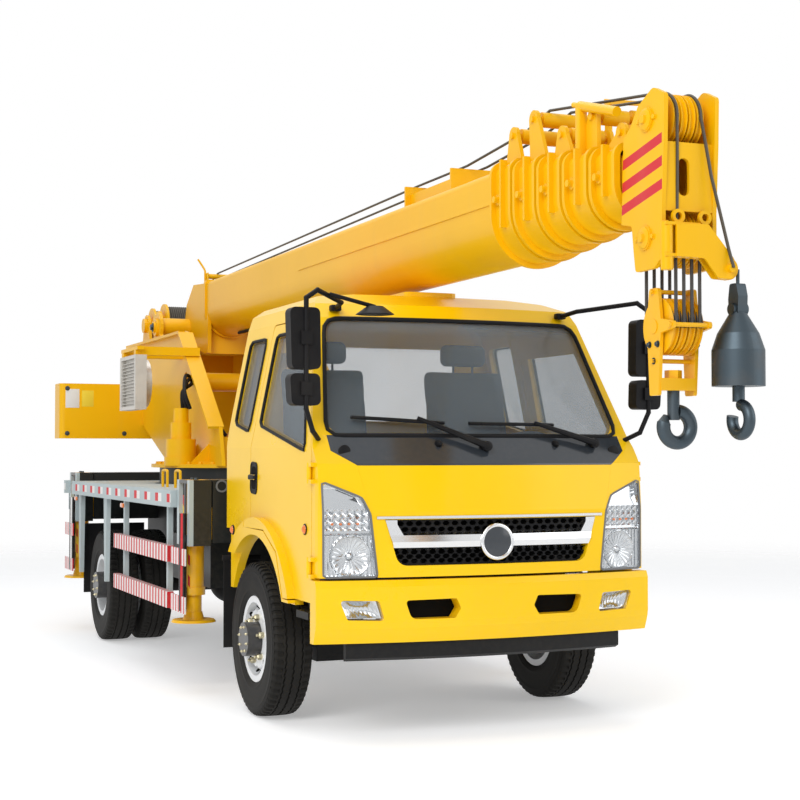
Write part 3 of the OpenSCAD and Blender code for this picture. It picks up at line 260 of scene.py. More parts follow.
def flowing(stops: Sequence[Sequence[float]], steps: int = 8) -> Array:
    """A smooth line through all stops: on each span a cubic with the slopes of its neighbours' chord.

    Args:
        stops: the points that the line goes through.
        steps: points per span.

    Returns:
        Points (count, 3) along the line.
    """
    p = np.asarray(stops, float)
    p = np.concatenate([2 * p[:1] - p[1:2], p, 2 * p[-1:] - p[-2:-1]])
    t = np.linspace(0, 1, steps, endpoint=False)[:, None, None]
    a, b, c, d = p[:-3], p[1:-2], p[2:-1], p[3:]
    line = 0.5 * (2 * b + (c - a) * t + (2 * a - 5 * b + 4 * c - d) * t**2 + (3 * b - a - 3 * c + d) * t**3)
    return np.concatenate([line.transpose(1, 0, 2).reshape(-1, 3), p[-2:-1]])


def tube(path: Sequence[Sequence[float]], radius: float | Array, sides: int = 8) -> Shape:
    """A circle carried square to a path, closed at both ends.

    Args:
        path: points (count, 3) that the middle follows.
        radius: one radius, or one for each point.
        sides: facets round the tube.

    Returns:
        The tube.
    """
    line = np.asarray(path, float)
    tangent = np.gradient(line, axis=0)
    tangent /= np.linalg.norm(tangent, axis=1, keepdims=True)
    upright = np.eye(3)[np.abs(tangent).max(0).argmin()]
    side = np.cross(tangent, upright)
    side /= np.linalg.norm(side, axis=1, keepdims=True)
    over = np.cross(side, tangent)
    angle = np.linspace(0, 2 * np.pi, sides, endpoint=False)
    r = np.broadcast_to(np.asarray(radius, float), (len(line),))[:, None, None]
    ring = side[:, None] * np.cos(angle)[None, :, None] + over[:, None] * np.sin(angle)[None, :, None]
    return Shape.grid(line[:, None] + r * ring, wrap=True, caps=True)


def block(low: Sequence[float], high: Sequence[float], radius: float = 0.004, steps: int = 3) -> Shape:
    """A box with round edges: a ball's surface whose eight octants are drawn apart to the corners.

    Args:
        low: the lowest corner.
        high: the highest corner.
        radius: the edges' radius.
        steps: points on a quarter turn.

    Returns:
        The closed surface.
    """
    low, high = np.minimum(low, high), np.maximum(low, high)
    half, centre = (high - low) / 2, (high + low) / 2
    r = min(radius, half.min() * 0.98)
    quarter = np.linspace(0, np.pi / 2, steps)
    around = np.concatenate([quarter + k * np.pi / 2 for k in range(4)])
    sign_u = np.repeat([[1, 1], [-1, 1], [-1, -1], [1, -1]], steps, axis=0)
    lift = np.concatenate([quarter - np.pi / 2, quarter])
    sign_v = np.repeat([-1, 1], steps)
    ball = np.stack(np.broadcast_arrays(np.cos(lift)[:, None] * np.cos(around),
                                        np.cos(lift)[:, None] * np.sin(around),
                                        np.sin(lift)[:, None] + 0 * around), axis=-1)
    pull = np.stack(np.broadcast_arrays(sign_u[None, :, 0], sign_u[None, :, 1], sign_v[:, None]), axis=-1)
    return Shape.grid(centre + pull * (half - r) + ball * r, wrap=True, caps=True)


def plate(outline: Sequence[tuple[float, float]], axis: Axis, start: float, end: float, edge: float = 0.002) -> Shape:
    """A flat outline carried straight along an axis, with its rims broken by a small chamfer.

    Args:
        outline: corners (across, up), in order round a shape that its middle sees whole.
        axis: the direction of the thickness.
        start: where the plate starts on that axis.
        end: where it ends.
        edge: the chamfer's size.

    Returns:
        The closed plate.
    """
    p = np.array(outline, float)
    ahead_edge = np.roll(p, -1, axis=0) - p
    ahead_edge /= np.linalg.norm(ahead_edge, axis=1, keepdims=True)
    bend = np.roll(ahead_edge, 1, axis=0) - ahead_edge
    inner = p - edge * bend / np.maximum(np.linalg.norm(bend, axis=1, keepdims=True), 1e-6)
    inner = np.where(((inner - p.mean(0)) ** 2).sum(1, keepdims=True) > ((p - p.mean(0)) ** 2).sum(1, keepdims=True),
                     2 * p - inner, inner)
    along = np.array([start, start + edge, end - edge, end])[:, None]
    rings = np.stack([inner, p, p, inner])
    return Shape.grid(axis.order(along, rings[..., 0], rings[..., 1]), wrap=True, caps=True)


class Sock:
    """A value on its way to a shader: arithmetic on it adds Math nodes."""

    def __init__(self, shader: "Shader", socket: bpy.types.NodeSocket) -> None:
        """Holds the socket and the shader that it belongs to."""
        self.shader, self.socket = shader, socket

    def _math(self, operation: str, *values: Any) -> "Sock":
        """Adds one Math node."""
        return self.shader.node("ShaderNodeMath", {"operation": operation}, dict(enumerate(values)))

    def __add__(self, other: Any) -> "Sock":
        """self + other."""
        return self._math("ADD", self, other)

    def __sub__(self, other: Any) -> "Sock":
        """self - other."""
        return self._math("SUBTRACT", self, other)

    def __rsub__(self, other: Any) -> "Sock":
        """other - self."""
        return self._math("SUBTRACT", other, self)

    def __mul__(self, other: Any) -> "Sock":
        """self * other."""
        return self._math("MULTIPLY", self, other)

    def __gt__(self, other: Any) -> "Sock":
        """1 where self is over other, else 0."""
        return self._math("GREATER_THAN", self, other)

    def __lt__(self, other: Any) -> "Sock":
        """1 where self is under other, else 0."""
        return self._math("LESS_THAN", self, other)

    def __abs__(self) -> "Sock":
        """The value without its sign."""
        return self._math("ABSOLUTE", self)

    def __mod__(self, other: Any) -> "Sock":
        """What is left of self after whole steps of other, never negative."""
        return self._math("FLOORED_MODULO", self, other)

    __radd__, __rmul__ = __add__, __mul__

    def ramp(self, low: float, high: float, to_low: float = 0.0, to_high: float = 1.0) -> "Sock":
        """Carries the span low to high over to another span, smoothly and held at its ends."""
        return self.shader.node("ShaderNodeMapRange", {"interpolation_type": "SMOOTHSTEP"},
                                {0: self, 1: low, 2: high, 3: to_low, 4: to_high})

    def within(self, low: float, high: float) -> "Sock":
        """1 between low and high, else 0."""
        return (self > low) * (self < high)


class Shader:
    """One material: a Principled surface and the nodes that feed it."""

    def __init__(self, name: str) -> None:
        """Makes an empty material with its surface shader.

        Args:
            name: the material's name.
        """
        self.material = bpy.data.materials.new(name)
        self.material.use_nodes = True
        self.tree = self.material.node_tree
        self.surface = self.tree.nodes["Principled BSDF"]
        self.place = self.node("ShaderNodeTexCoord", {}, {}, "Object")
        split = self.node("ShaderNodeSeparateXYZ", {}, {0: self.place}, None)
        self.x, self.y, self.z = (Sock(self, s) for s in split.outputs)

    def node(self, kind: str, settings: dict[str, Any], inputs: dict[Any, Any], out: Any = 0) -> Any:
        """Adds any node.

        Args:
            kind: the node's type.
            settings: its own properties; "stops" gives a ramp's (place, colour) pairs.
            inputs: a value or a Sock for each named or numbered input.
            out: which output comes back, or None for the node itself.

        Returns:
            The output as a Sock, or the node.
        """
        made = self.tree.nodes.new(kind)
        for key, value in settings.items():
            if key == "stops":
                self._stops(made.color_ramp, value)
            else:
                setattr(made, key, value)
        for key, value in inputs.items():
            if isinstance(value, Sock):
                self.tree.links.new(value.socket, made.inputs[key])
            else:
                made.inputs[key].default_value = value
        return made if out is None else Sock(self, made.outputs[out])

    @staticmethod
    def _stops(ramp: bpy.types.ColorRamp, stops: Sequence[tuple[float, Colour]]) -> None:
        """Sets a ramp's stops.

        Args:
            ramp: the colour ramp.
            stops: a place and a colour for each stop.
        """
        while len(ramp.elements) < len(stops):
            ramp.elements.new(1.0)
        for element, (place, colour) in zip(ramp.elements, stops):
            element.position, element.color = place, (*colour, 1.0)

    def noise(self, scale: float, detail: float = 3.0, stretch: Sequence[float] = (1, 1, 1)) -> Sock:
        """Soft noise from 0 to 1, so many to the metre, drawn out along an axis by a small stretch."""
        spread = self.node("ShaderNodeMapping", {}, {"Vector": self.place, "Scale": stretch})
        return self.node("ShaderNodeTexNoise", {}, {"Vector": spread, "Scale": scale, "Detail": detail})

    def mix(self, mask: Sock, first: Any, second: Any) -> Sock:
        """The first colour where the mask is 0 and the second where it is 1."""
        colours = [c if isinstance(c, Sock) else (*c, 1.0) for c in (first, second)]
        return self.node("ShaderNodeMix", {"data_type": "RGBA"}, {0: mask, 6: colours[0], 7: colours[1]}, 2)

    def facing_up(self) -> Sock:
        """Tells level faces from upright ones.

        Returns:
            1 on faces that look up, 0 on upright and lower ones.
        """
        normal = self.node("ShaderNodeNewGeometry", {}, {}, "Normal")
        split = self.node("ShaderNodeSeparateXYZ", {}, {0: normal}, 2)
        return split.ramp(0.35, 0.9)

    def bump(self, height: Sock, depth: float) -> Sock:
        """A bumped normal from a height, in metres."""
        return self.node("ShaderNodeBump", {}, {"Height": height, "Distance": depth, "Strength": 1.0}, "Normal")

    def dress(self, **inputs: Any) -> bpy.types.Material:
        """Feeds the surface shader.

        Args:
            inputs: values or Socks by the socket's name, with _ for a blank.

        Returns:
            The finished material.
        """
        for key, value in inputs.items():
            socket = self.surface.inputs[key.replace("_", " ")]
            if isinstance(value, Sock):
                self.tree.links.new(value.socket, socket)
            else:
                socket.default_value = (*value, 1.0) if isinstance(value, tuple) else value
        return self.material


class Stripes(Enum):
    """Painted patterns that lie over a finish."""

    NONE = 0
    HEAD = 1
    GUARD = 2
    BEAM = 3
    DECK = 4
    BLOCK = 5
    HUB = 6


@dataclass(frozen=True)
class Paint:
    """Sprayed paint: a faint mottle, orange peel, road dust low down and on ledges."""

    colour: Colour
    roughness: float = 0.3
    coat: float = 0.5
    dust: Colour = (0.42, 0.36, 0.27)
    dust_level: float = 0.35
    grime: float = 0.06
    stripes: Stripes = Stripes.NONE

    def material(self, name: str) -> bpy.types.Material:
        """Builds the finish.

        Args:
            name: the material's name.

        Returns:
            The material.
        """
        s = Shader(name)
        mottle = s.noise(1.6, 4)
        fine = s.noise(38, 3)
        shade = tuple(c * 0.90 for c in self.colour)
        colour = s.mix(mottle.ramp(0.35, 0.75, 0.0, 0.55), self.colour, shade)
        colour = self._painted(s, colour)
        low = s.z.ramp(0.35, 1.25, 1.0, 0.0)
        ledge = s.facing_up() * 0.45
        streak = s.noise(9, 4, (1, 1, 0.12)).ramp(0.5, 0.8)
        dirt = (low * 0.55 + ledge + streak * 0.25) * fine.ramp(0.3, 0.75) * self.dust_level
        dirt = dirt + streak * self.grime
        colour = s.mix(dirt, colour, self.dust)
        rough = self.roughness + dirt * 0.5 + mottle * 0.06
        peel = s.noise(420, 1)
        if self.stripes is Stripes.DECK:
            peel = peel + self._chequer(s) * 12
        return s.dress(Base_Color=colour, Roughness=rough, Normal=s.bump(peel, 0.00012),
                       Coat_Weight=self.coat * (1 - dirt), Coat_Roughness=0.12, Specular_IOR_Level=0.25)

    def _painted(self, s: Shader, colour: Sock) -> Sock:
        """Lays the stripes over the colour.

        Args:
            s: the shader being built.
            colour: the colour so far.

        Returns:
            The striped colour.
        """
        red, white, black = (0.60, 0.02, 0.03), (0.78, 0.77, 0.75), (0.012, 0.012, 0.013)
        if self.stripes is Stripes.HEAD:
            back, front, slope, pitch, width = ahead(2.44), ahead(2.745), 0.21, 0.0895, 0.04
            slant = s.z - (s.x - back) * slope
            bands = (slant - 2.326) % pitch < width
            area = slant.within(2.32, 2.55) * s.x.within(back, front) * (abs(s.y) > 0.12)
            return s.mix(bands * area, colour, red)
        if self.stripes is Stripes.GUARD:
            pitch = 0.075
            return s.mix(s.x % pitch < pitch / 2, white, red)
        if self.stripes is Stripes.DECK:
            along, length, first = (s.x + 0.02) % 0.29, 0.16, 0.075
            tape = (abs(s.y) > 1.0985) * s.z.within(1.085, 1.135) * (along < length)
            return s.mix(tape, colour, s.mix(along < first, white, red))
        if self.stripes is Stripes.BEAM:
            jacks, tube_half = JACK_X.values(), 0.092
            across = abs(s.y)
            off = abs(abs(s.x - ahead(sum(jacks) / 2)) - (max(jacks) - min(jacks)) / 2)
            guard = across.within(1.0865, 1.0975)
            hazard = across.within(1.0345, 1.0437) * (off < tube_half)
            pole = (across > 1.05) * (off < tube_half) * (1 - guard)
            post = (off > 0.0925) * (s.z > 0.842) * (1 - guard) * (across > 0.934)
            lean = (s.z + (s.x + s.y) * 0.8) % 0.12 < 0.06
            colour = s.mix(hazard, colour, s.mix(lean, (0.86, 0.55, 0.03), red))
            colour = s.mix(post, colour, s.mix(across > 1.04, (0.014, 0.016, 0.016), (0.40, 0.47, 0.48)))
            colour = s.mix(pole, colour, black)
            return s.mix(guard, colour, s.mix(s.x % 0.06 < 0.03, white, red))
        if self.stripes is Stripes.HUB:
            along, up = abs(s.x - ahead(-HALF_WHEELBASE)) - HALF_WHEELBASE, s.z - AXLE_Z
            away = s.node("ShaderNodeMath", {"operation": "POWER"}, {0: along * along + up * up, 1: 0.5})
            return s.mix(away < 0.0965, colour, (0.05, 0.05, 0.052))
        if self.stripes is Stripes.BLOCK:
            rope = (abs(abs(s.x - ahead(HOOK_X)) - 0.107) < 0.009) * s.z.within(1.86, 2.23) * (abs(s.y) < 0.066)
            return s.mix(rope, colour, (0.05, 0.045, 0.04))
        return colour

    def _chequer(self, s: Shader) -> Sock:
        """Raised lozenges of a tread plate, on faces that look up: the product of two slanted sines.

        Args:
            s: the shader being built.

        Returns:
            The height, from 0 to 1.
        """
        slants = (s.x + s.y) * 100, (s.x - s.y) * 100
        first, second = (s.node("ShaderNodeMath", {"operation": "SINE"}, {0: slant}) for slant in slants)
        return (first * second).ramp(0.2, 0.6) * s.facing_up()


@dataclass(frozen=True)
class Metal:
    """Bare or plated metal with fine scratches and a tarnish."""

    colour: Colour
    roughness: float
    tarnish: Colour = (0.12, 0.1, 0.08)
    stained: float = 0.3

    def material(self, name: str) -> bpy.types.Material:
        """Builds the finish.

        Args:
            name: the material's name.

        Returns:
            The material.
        """
        s = Shader(name)
        patch = s.noise(7, 5).ramp(0.45, 0.8)
        scratch = s.noise(140, 2, (1, 0.15, 1))
        colour = s.mix(patch * self.stained, self.colour, self.tarnish)
        rough = self.roughness + patch * 0.25 * self.stained + scratch * 0.06
        return s.dress(Base_Color=colour, Roughness=rough, Metallic=1 - patch * 0.5 * self.stained,
                       Normal=s.bump(scratch, 0.0001))


@dataclass(frozen=True)
class Moulding:
    """Plastic or rubber with a fine grain and pale dust."""

    colour: Colour
    roughness: float = 0.5
    grain: float = 320.0
    depth: float = 0.0003
    dust: float = 0.25

    def material(self, name: str) -> bpy.types.Material:
        """Builds the finish.

        Args:
            name: the material's name.

        Returns:
            The material.
        """
        s = Shader(name)
        grain = s.noise(self.grain, 2)
        patch = s.noise(5, 4).ramp(0.4, 0.8)
        dirt = (patch * 0.5 + s.facing_up() * 0.6 + s.z.ramp(0.2, 0.9, 0.5, 0.0)) * self.dust
        colour = s.mix(dirt, self.colour, (0.33, 0.3, 0.25))
        return s.dress(Base_Color=colour, Roughness=self.roughness + dirt * 0.3, Normal=s.bump(grain, self.depth),
                       Specular_IOR_Level=0.15)


@dataclass(frozen=True)
class Glazing:
    """Thin tinted window glass that lets most light through and mirrors the sky at a slant."""

    tint: Colour = (0.22, 0.27, 0.31)
    clear: float = 0.80
    band: float = 0.2

    def material(self, name: str) -> bpy.types.Material:
        """Builds the finish.

        Args:
            name: the material's name.

        Returns:
            The material.
        """
        s = Shader(name)
        film = s.noise(3, 3)
        edge = s.node("ShaderNodeFresnel", {}, {"IOR": 1.5})
        band = s.z.ramp(1.955, 2.05, 0.0, self.band)
        alpha = (1 - self.clear) * film.ramp(0.2, 0.8, 0.85, 1.0) + edge * 0.25 + band
        s.material.surface_render_method = "BLENDED"
        return s.dress(Base_Color=self.tint, Roughness=0.04, Alpha=alpha, Coat_Weight=0.15, IOR=1.4)


@dataclass
class Studio:
    """Pale floor, soft light and the camera of the reference view."""

    image_size: float = 800.0
    focal_pixels: float = 1547.0
    sensor: float = 36.0
    yaw: float = 22.3
    rise_pixels: float = 52.0
    eye: tuple[float, float, float] = (7.825, -3.294, 1.38)
    floor_radius: float = 26.0
    floor_glow: float = 0.34
    sky: float = 0.42
    key: float = 790.0
    fill: float = 270.0
    top: float = 420.0
    aim: tuple[float, float, float] = (0.5, 0.0, 1.3)

    def camera(self) -> bpy.types.Object:
        """Sets up the camera where the reference view was taken.

        Returns:
            The camera object.
        """
        lens = bpy.data.cameras.new("view")
        lens.sensor_width = self.sensor
        lens.lens = self.sensor * self.focal_pixels / self.image_size
        eye = bpy.data.objects.new("view", lens)
        bpy.context.collection.objects.link(eye)
        eye.location = (ahead(self.eye[0]), *self.eye[1:])
        turn, pitch = math.radians(self.yaw), math.atan(self.rise_pixels / self.focal_pixels)
        look = Vector((-math.cos(turn) * math.cos(pitch), math.sin(turn) * math.cos(pitch), math.sin(pitch)))
        eye.rotation_euler = look.to_track_quat("-Z", "Y").to_euler()
        bpy.context.scene.camera = eye
        return eye

    def world(self) -> None:
        """A soft grey sky as light, and a white one for the camera and for what metal and glass show."""
        world = bpy.data.worlds.new("sky")
        world.use_nodes = True
        bpy.context.scene.world = world
        tree = world.node_tree
        soft = tree.nodes["Background"]
        soft.inputs["Color"].default_value = (0.93, 0.96, 1.0, 1.0)
        soft.inputs["Strength"].default_value = self.sky
        plain = tree.nodes.new("ShaderNodeBackground")
        plain.inputs["Color"].default_value = (1.0, 1.0, 1.0, 1.0)
        rays = tree.nodes.new("ShaderNodeLightPath")
        seen, shown = (tree.nodes.new("ShaderNodeMath") for _ in range(2))
        for node in (seen, shown):
            node.operation, node.use_clamp = "ADD", True
        choose = tree.nodes.new("ShaderNodeMixShader")
        link = tree.links.new
        link(rays.outputs["Is Camera Ray"], seen.inputs[0])
        link(rays.outputs["Is Transmission Ray"], seen.inputs[1])
        link(seen.outputs[0], shown.inputs[0])
        link(rays.outputs["Is Glossy Ray"], shown.inputs[1])
        link(shown.outputs[0], choose.inputs[0])
        link(soft.outputs[0], choose.inputs[1])
        link(plain.outputs[0], choose.inputs[2])
        link(choose.outputs[0], tree.nodes["World Output"].inputs["Surface"])

    def floor(self) -> bpy.types.Object:
        """A pale disc whose rim fades into the sky.

        Returns:
            The floor object.
        """
        ring = np.linspace(0, self.floor_radius, 40)
        angle = np.linspace(0, 2 * np.pi, 96, endpoint=False)
        flat = np.stack(np.broadcast_arrays(ring[:, None] * np.cos(angle), ring[:, None] * np.sin(angle),
                                            0 * ring[:, None] + 0 * angle), axis=-1)
        shape = Shape.grid(flat, wrap=True)
        mesh = bpy.data.meshes.new("floor")
        mesh.from_pydata(shape.points.tolist(), [], shape.quads[:, ::-1].tolist())
        made = bpy.data.objects.new("floor", mesh)
        bpy.context.collection.objects.link(made)
        s = Shader("floor")
        s.dress(Base_Color=(0.9, 0.9, 0.9), Roughness=0.8, Specular_IOR_Level=0.1, Emission_Color=(1.0, 1.0, 1.0),
                Emission_Strength=self.floor_glow)
        far = s.node("ShaderNodeVectorMath", {"operation": "LENGTH"}, {0: s.place}, "Value")
        fade = far.ramp(self.floor_radius * 0.22, self.floor_radius * 0.62)
        glow = s.node("ShaderNodeBsdfTransparent", {}, {})
        blend = s.node("ShaderNodeMixShader", {}, {0: fade, 1: Sock(s, s.surface.outputs[0]), 2: glow}, None)
        s.tree.links.new(blend.outputs[0], s.tree.nodes["Material Output"].inputs["Surface"])
        made.data.materials.append(s.material)
        return made

    def lamps(self) -> None:
        """A broad key from the front right, a fill from the left and a soft top light."""
        self._lamp("key", (9.0, -7.5, 7.5), self.aim, 6.0, self.key)
        self._lamp("fill", (8.0, 8.0, 5.0), self.aim, 7.0, self.fill)
        self._lamp("top", (-1.0, -1.0, 10.0), (-1.0, 0.0, 1.0), 9.0, self.top)

    @staticmethod
    def _lamp(name: str, place: Sequence[float], aim: Sequence[float], size: float, power: float) -> None:
        """Adds one square area lamp.

        Args:
            name: the lamp's name.
            place: where it stands.
            aim: what it looks at.
            size: the length of its side.
            power: its power in watts.
        """
        lamp = bpy.data.lights.new(name, "AREA")
        lamp.size, lamp.energy = size, power
        made = bpy.data.objects.new(name, lamp)
        bpy.context.collection.objects.link(made)
        made.location = place
        made.rotation_euler = (Vector(aim) - Vector(place)).to_track_quat("-Z", "Y").to_euler()

    def build(self) -> None:
        """Sets up the whole studio."""
        bpy.context.scene.view_settings.view_transform = "Standard"
        self.camera()
        self.world()
        self.floor()
        self.lamps()


@dataclass
class Finishes:
    """Every finish on the crane, and the solids that wear it."""

    made: dict[str, bpy.types.Material] = field(default_factory=dict)

    def recipes(self) -> dict[str, Any]:
        """The finishes by name."""
        yellow = (0.92, 0.565, 0.0)
        return {
            "cab_paint": Paint(yellow, 0.25, 0.12, dust_level=0.06, grime=0.01),
            "crane_paint": Paint((0.88, 0.475, 0.0), 0.36, 0.1, dust_level=0.1, grime=0.03),
            "head_paint": Paint((0.88, 0.475, 0.0), 0.36, 0.1, dust_level=0.1, grime=0.03, stripes=Stripes.HEAD),
            "chassis_paint": Paint((0.003, 0.003, 0.0035), 0.5, 0.0, dust_level=0.02, grime=0.0),
            "box_paint": Paint((0.014, 0.016, 0.016), 0.4, 0.1, dust_level=0.1, grime=0.02),
            "deck_paint": Paint((0.46, 0.53, 0.54), 0.5, 0.0, dust_level=0.4, stripes=Stripes.DECK),
            "guard_paint": Paint((0.75, 0.74, 0.72), 0.4, 0.1, dust_level=0.25, stripes=Stripes.GUARD),
            "black_plastic": Moulding((0.005, 0.005, 0.006), 0.5, dust=0.05),
            "gloss_black": Paint((0.030, 0.036, 0.044), 0.12, 0.6, dust_level=0.05, grime=0.0),
            "trim_chrome": Metal((0.70, 0.71, 0.72), 0.16, stained=0.03),
            "lamp_lens": Glazing((0.75, 0.78, 0.8), 0.95, 0.0),
            "window_glass": Glazing(),
            "tyre_rubber": Moulding((0.004, 0.004, 0.004), 0.65, 120.0, 0.0005, 0.06),
            "rim_silver": Paint((0.80, 0.81, 0.82), 0.32, 0.2, dust_level=0.1, stripes=Stripes.HUB),
            "steel": Metal((0.065, 0.085, 0.10), 0.42),
            "rod_chrome": Metal((0.75, 0.76, 0.78), 0.12, stained=0.1),
            "cast_iron": Metal((0.16, 0.155, 0.15), 0.6, stained=0.6),
            "seat_cloth": Moulding((0.09, 0.095, 0.10), 0.85, 700.0, 0.0006, 0.1),
            "dash_plastic": Moulding((0.10, 0.105, 0.11), 0.6),
            "cooler_alu": Metal((0.60, 0.58, 0.54), 0.5, stained=0.2),
            "beam_paint": Paint((0.88, 0.46, 0.004), 0.33, 0.3, dust_level=0.2, stripes=Stripes.BEAM),
            "block_paint": Paint((0.88, 0.46, 0.004), 0.33, 0.3, dust_level=0.12, stripes=Stripes.BLOCK),
            "nut_plate": Metal((0.62, 0.56, 0.38), 0.3, stained=0.2),
            "mirror_plate": Metal((0.55, 0.57, 0.59), 0.09, stained=0.05),
            "bezel_grey": Moulding((0.16, 0.165, 0.17), 0.4, dust=0.05),
            "seal_rubber": Moulding((0.007, 0.007, 0.008), 0.6, 260.0, 0.0002, 0.04),
            # near-black painted shade, laid in holes, recesses and behind the grille's openings where only shade is
            # seen
            "painted_shade": Moulding((0.002, 0.002, 0.002), 0.9, dust=0.0),
            "amber_lens": Paint((0.75, 0.17, 0.01), 0.12, 0.8, dust_level=0.1, grime=0.0),
            "red_lens": Paint((0.42, 0.008, 0.006), 0.12, 0.8, dust_level=0.1, grime=0.0),
            "clear_lens": Paint((0.72, 0.73, 0.74), 0.12, 0.8, dust_level=0.1, grime=0.0),
            "wire_rope": Metal((0.10, 0.09, 0.075), 0.5, stained=0.6),
            "label_white": Moulding((0.74, 0.74, 0.72), 0.45, dust=0.1),
            "label_yellow": Moulding((0.82, 0.62, 0.05), 0.45, dust=0.1),
        }

    @staticmethod
    def worn_by() -> dict[str, Sequence[str]]:
        """Which solids wear each finish."""
        corners = [f"{end}_{hand}" for end in ("front", "rear") for hand in HANDS]
        return {
            "chassis_paint": ["frame", "front_axle", "rear_axle", "cab_floor", *(f"knuckle_{h}" for h in HANDS)],
            "cast_iron": ["engine"],
            "cab_paint": ["cab_shell", "front_panel", "bumper", "wheel_arches", *(f"door_{h}" for h in HANDS)],
            "window_glass": ["cab_glass", *(f"door_{h}_glass" for h in HANDS)],
            "gloss_black": ["cowl"],
            "black_plastic": ["grille", "mirrors"],
            "trim_chrome": ["grille_trim"],
            "lamp_lens": ["lamps"],
            "seat_cloth": ["seats"],
            "dash_plastic": ["dashboard"],
            "deck_paint": ["deck"],
            "guard_paint": ["side_guards"],
            "box_paint": ["outrigger_boxes", "tanks", "pedestal"],
            "rim_silver": [f"rim_{c}" for c in corners],
            "tyre_rubber": [*(f"tyre_front_{h}" for h in HANDS), *(f"tyres_rear_{h}" for h in HANDS)],
            "crane_paint": ["turret", "winches", "counterweight", "boom_base", "boom_second", "boom_third",
                            "boom_fourth", "boom_fifth", "luff_barrel", *(f"leg_{c}" for c in corners)],
            "beam_paint": [f"beam_{c}" for c in corners],
            "block_paint": ["hook_block"],
            "head_paint": ["boom_sixth"],
            "rod_chrome": ["luff_rod"],
            "cooler_alu": ["oil_cooler"],
            "steel": ["hook", "ball_hook"],
        }

    def build(self) -> None:
        """Makes the finishes and puts them on the solids."""
        self.made = {name: recipe.material(name) for name, recipe in self.recipes().items()}
        for name, nodes in self.worn_by().items():
            for node in nodes:
                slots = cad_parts[node].data.materials
                slots.clear()
                slots.append(self.made[name])


FINISHES = Finishes()


def loose(name: str, shape: Shape, finish: str, crease: float = 35.0) -> bpy.types.Object:
    """Makes a mesh piece that no body carries yet.

    Args:
        name: the piece's name.
        shape: its surface, in the part's frame.
        finish: the name of its finish.
        crease: edges sharper than this many degrees stay sharp.

    Returns:
        The object.
    """
    mesh = bpy.data.meshes.new(name)
    mesh.from_pydata(shape.points.tolist(), [], shape.quads.tolist() + shape.tris.tolist())
    mesh.validate()
    mesh.shade_smooth()
    mesh.set_sharp_from_angle(angle=math.radians(crease))
    mesh.materials.append(FINISHES.made[finish])
    made = bpy.data.objects.new(name, mesh)
    bpy.context.collection.objects.link(made)
    LOG.info("%s: %d faces", name, len(mesh.polygons))
    return made


def piece(name: str, shape: Shape, finish: str, body: str, crease: float = 35.0) -> bpy.types.Object:
    """Makes a mesh piece that rides on a body.

    Args:
        name: the piece's name.
        shape: its surface, in the part's frame.
        finish: the name of its finish.
        body: the body that carries it.
        crease: edges sharper than this many degrees stay sharp.

    Returns:
        The object.
    """
    made = loose(name, shape, finish, crease)
    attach(made, body)
    return made


def nose(y: Array, z: Array, out: float = 0.0) -> Array:
    """The frame's X of the cab's front surface at a height and a place across, set out by a distance."""
    reach = np.interp(z, [0.63, 1.095, 1.324, 1.462, 2.06], [4.03, 4.03, 4.0, 3.895, 3.56]) + out
    return ahead(-3.0) + np.sqrt(reach**2 - np.asarray(y) ** 2)


def side(z: Array, out: float = 0.0) -> Array:
    """How far the cab's left side stands from the middle at a height, set out by a distance."""
    return np.interp(z, [0.6, 1.4, 2.07], [0.88, 0.88, 0.745]) + out


def rounded(corners: Sequence[tuple[float, float]], radius: float, steps: int = 6) -> Array:
    """A closed outline with round corners.

    Args:
        corners: the sharp corners, in order.
        radius: how far before and after a corner the rounding reaches.
        steps: points at each corner.

    Returns:
        Points (count, 2).
    """
    p = np.array(corners, float)
    before, after = np.roll(p, 1, axis=0) - p, np.roll(p, -1, axis=0) - p
    before /= np.linalg.norm(before, axis=1, keepdims=True)
    after /= np.linalg.norm(after, axis=1, keepdims=True)
    t = np.linspace(0, 1, steps)[None, :, None]
    start, end = (p + before * radius)[:, None], (p + after * radius)[:, None]
    return ((1 - t) ** 2 * start + 2 * t * (1 - t) * p[:, None] + t**2 * end).reshape(-1, 2)


def dense(loop: Array, pitch: float = 0.04) -> Array:
    """A closed loop with points added along its long sides, at even steps of its length.

    Args:
        loop: corners (count, 2 or 3), in order.
        pitch: the step.

    Returns:
        The loop's points, with the first one again at the end.
    """
    line = np.concatenate([loop, loop[:1]])
    run = np.concatenate([[0], np.cumsum(np.linalg.norm(np.diff(line, axis=0), axis=1))])
    at = np.linspace(0, run[-1], max(int(run[-1] / pitch), 12))
    return np.stack([np.interp(at, run, line[:, k]) for k in range(line.shape[1])], axis=-1)


def hex_bolts(places: Array, axis: Axis, radius: float, height: float, sign: float = 1.0) -> Shape:
    """Six-sided bolt heads on washers at the given places.

    Args:
        places: their seats (count, 3).
        axis: the direction that they point along.
        radius: the head's radius.
        height: the head's height.
        sign: -1 to point against the axis.

    Returns:
        All bolts as one surface.
    """
    washer = disc([(0, radius * 1.35), (sign * height * 0.2, radius * 1.35)], axis, 16)
    head = disc([(0, radius), (sign * height * 0.85, radius), (sign * height, radius * 0.8)], axis, 6)
    return joined([washer, head]).copies(places)


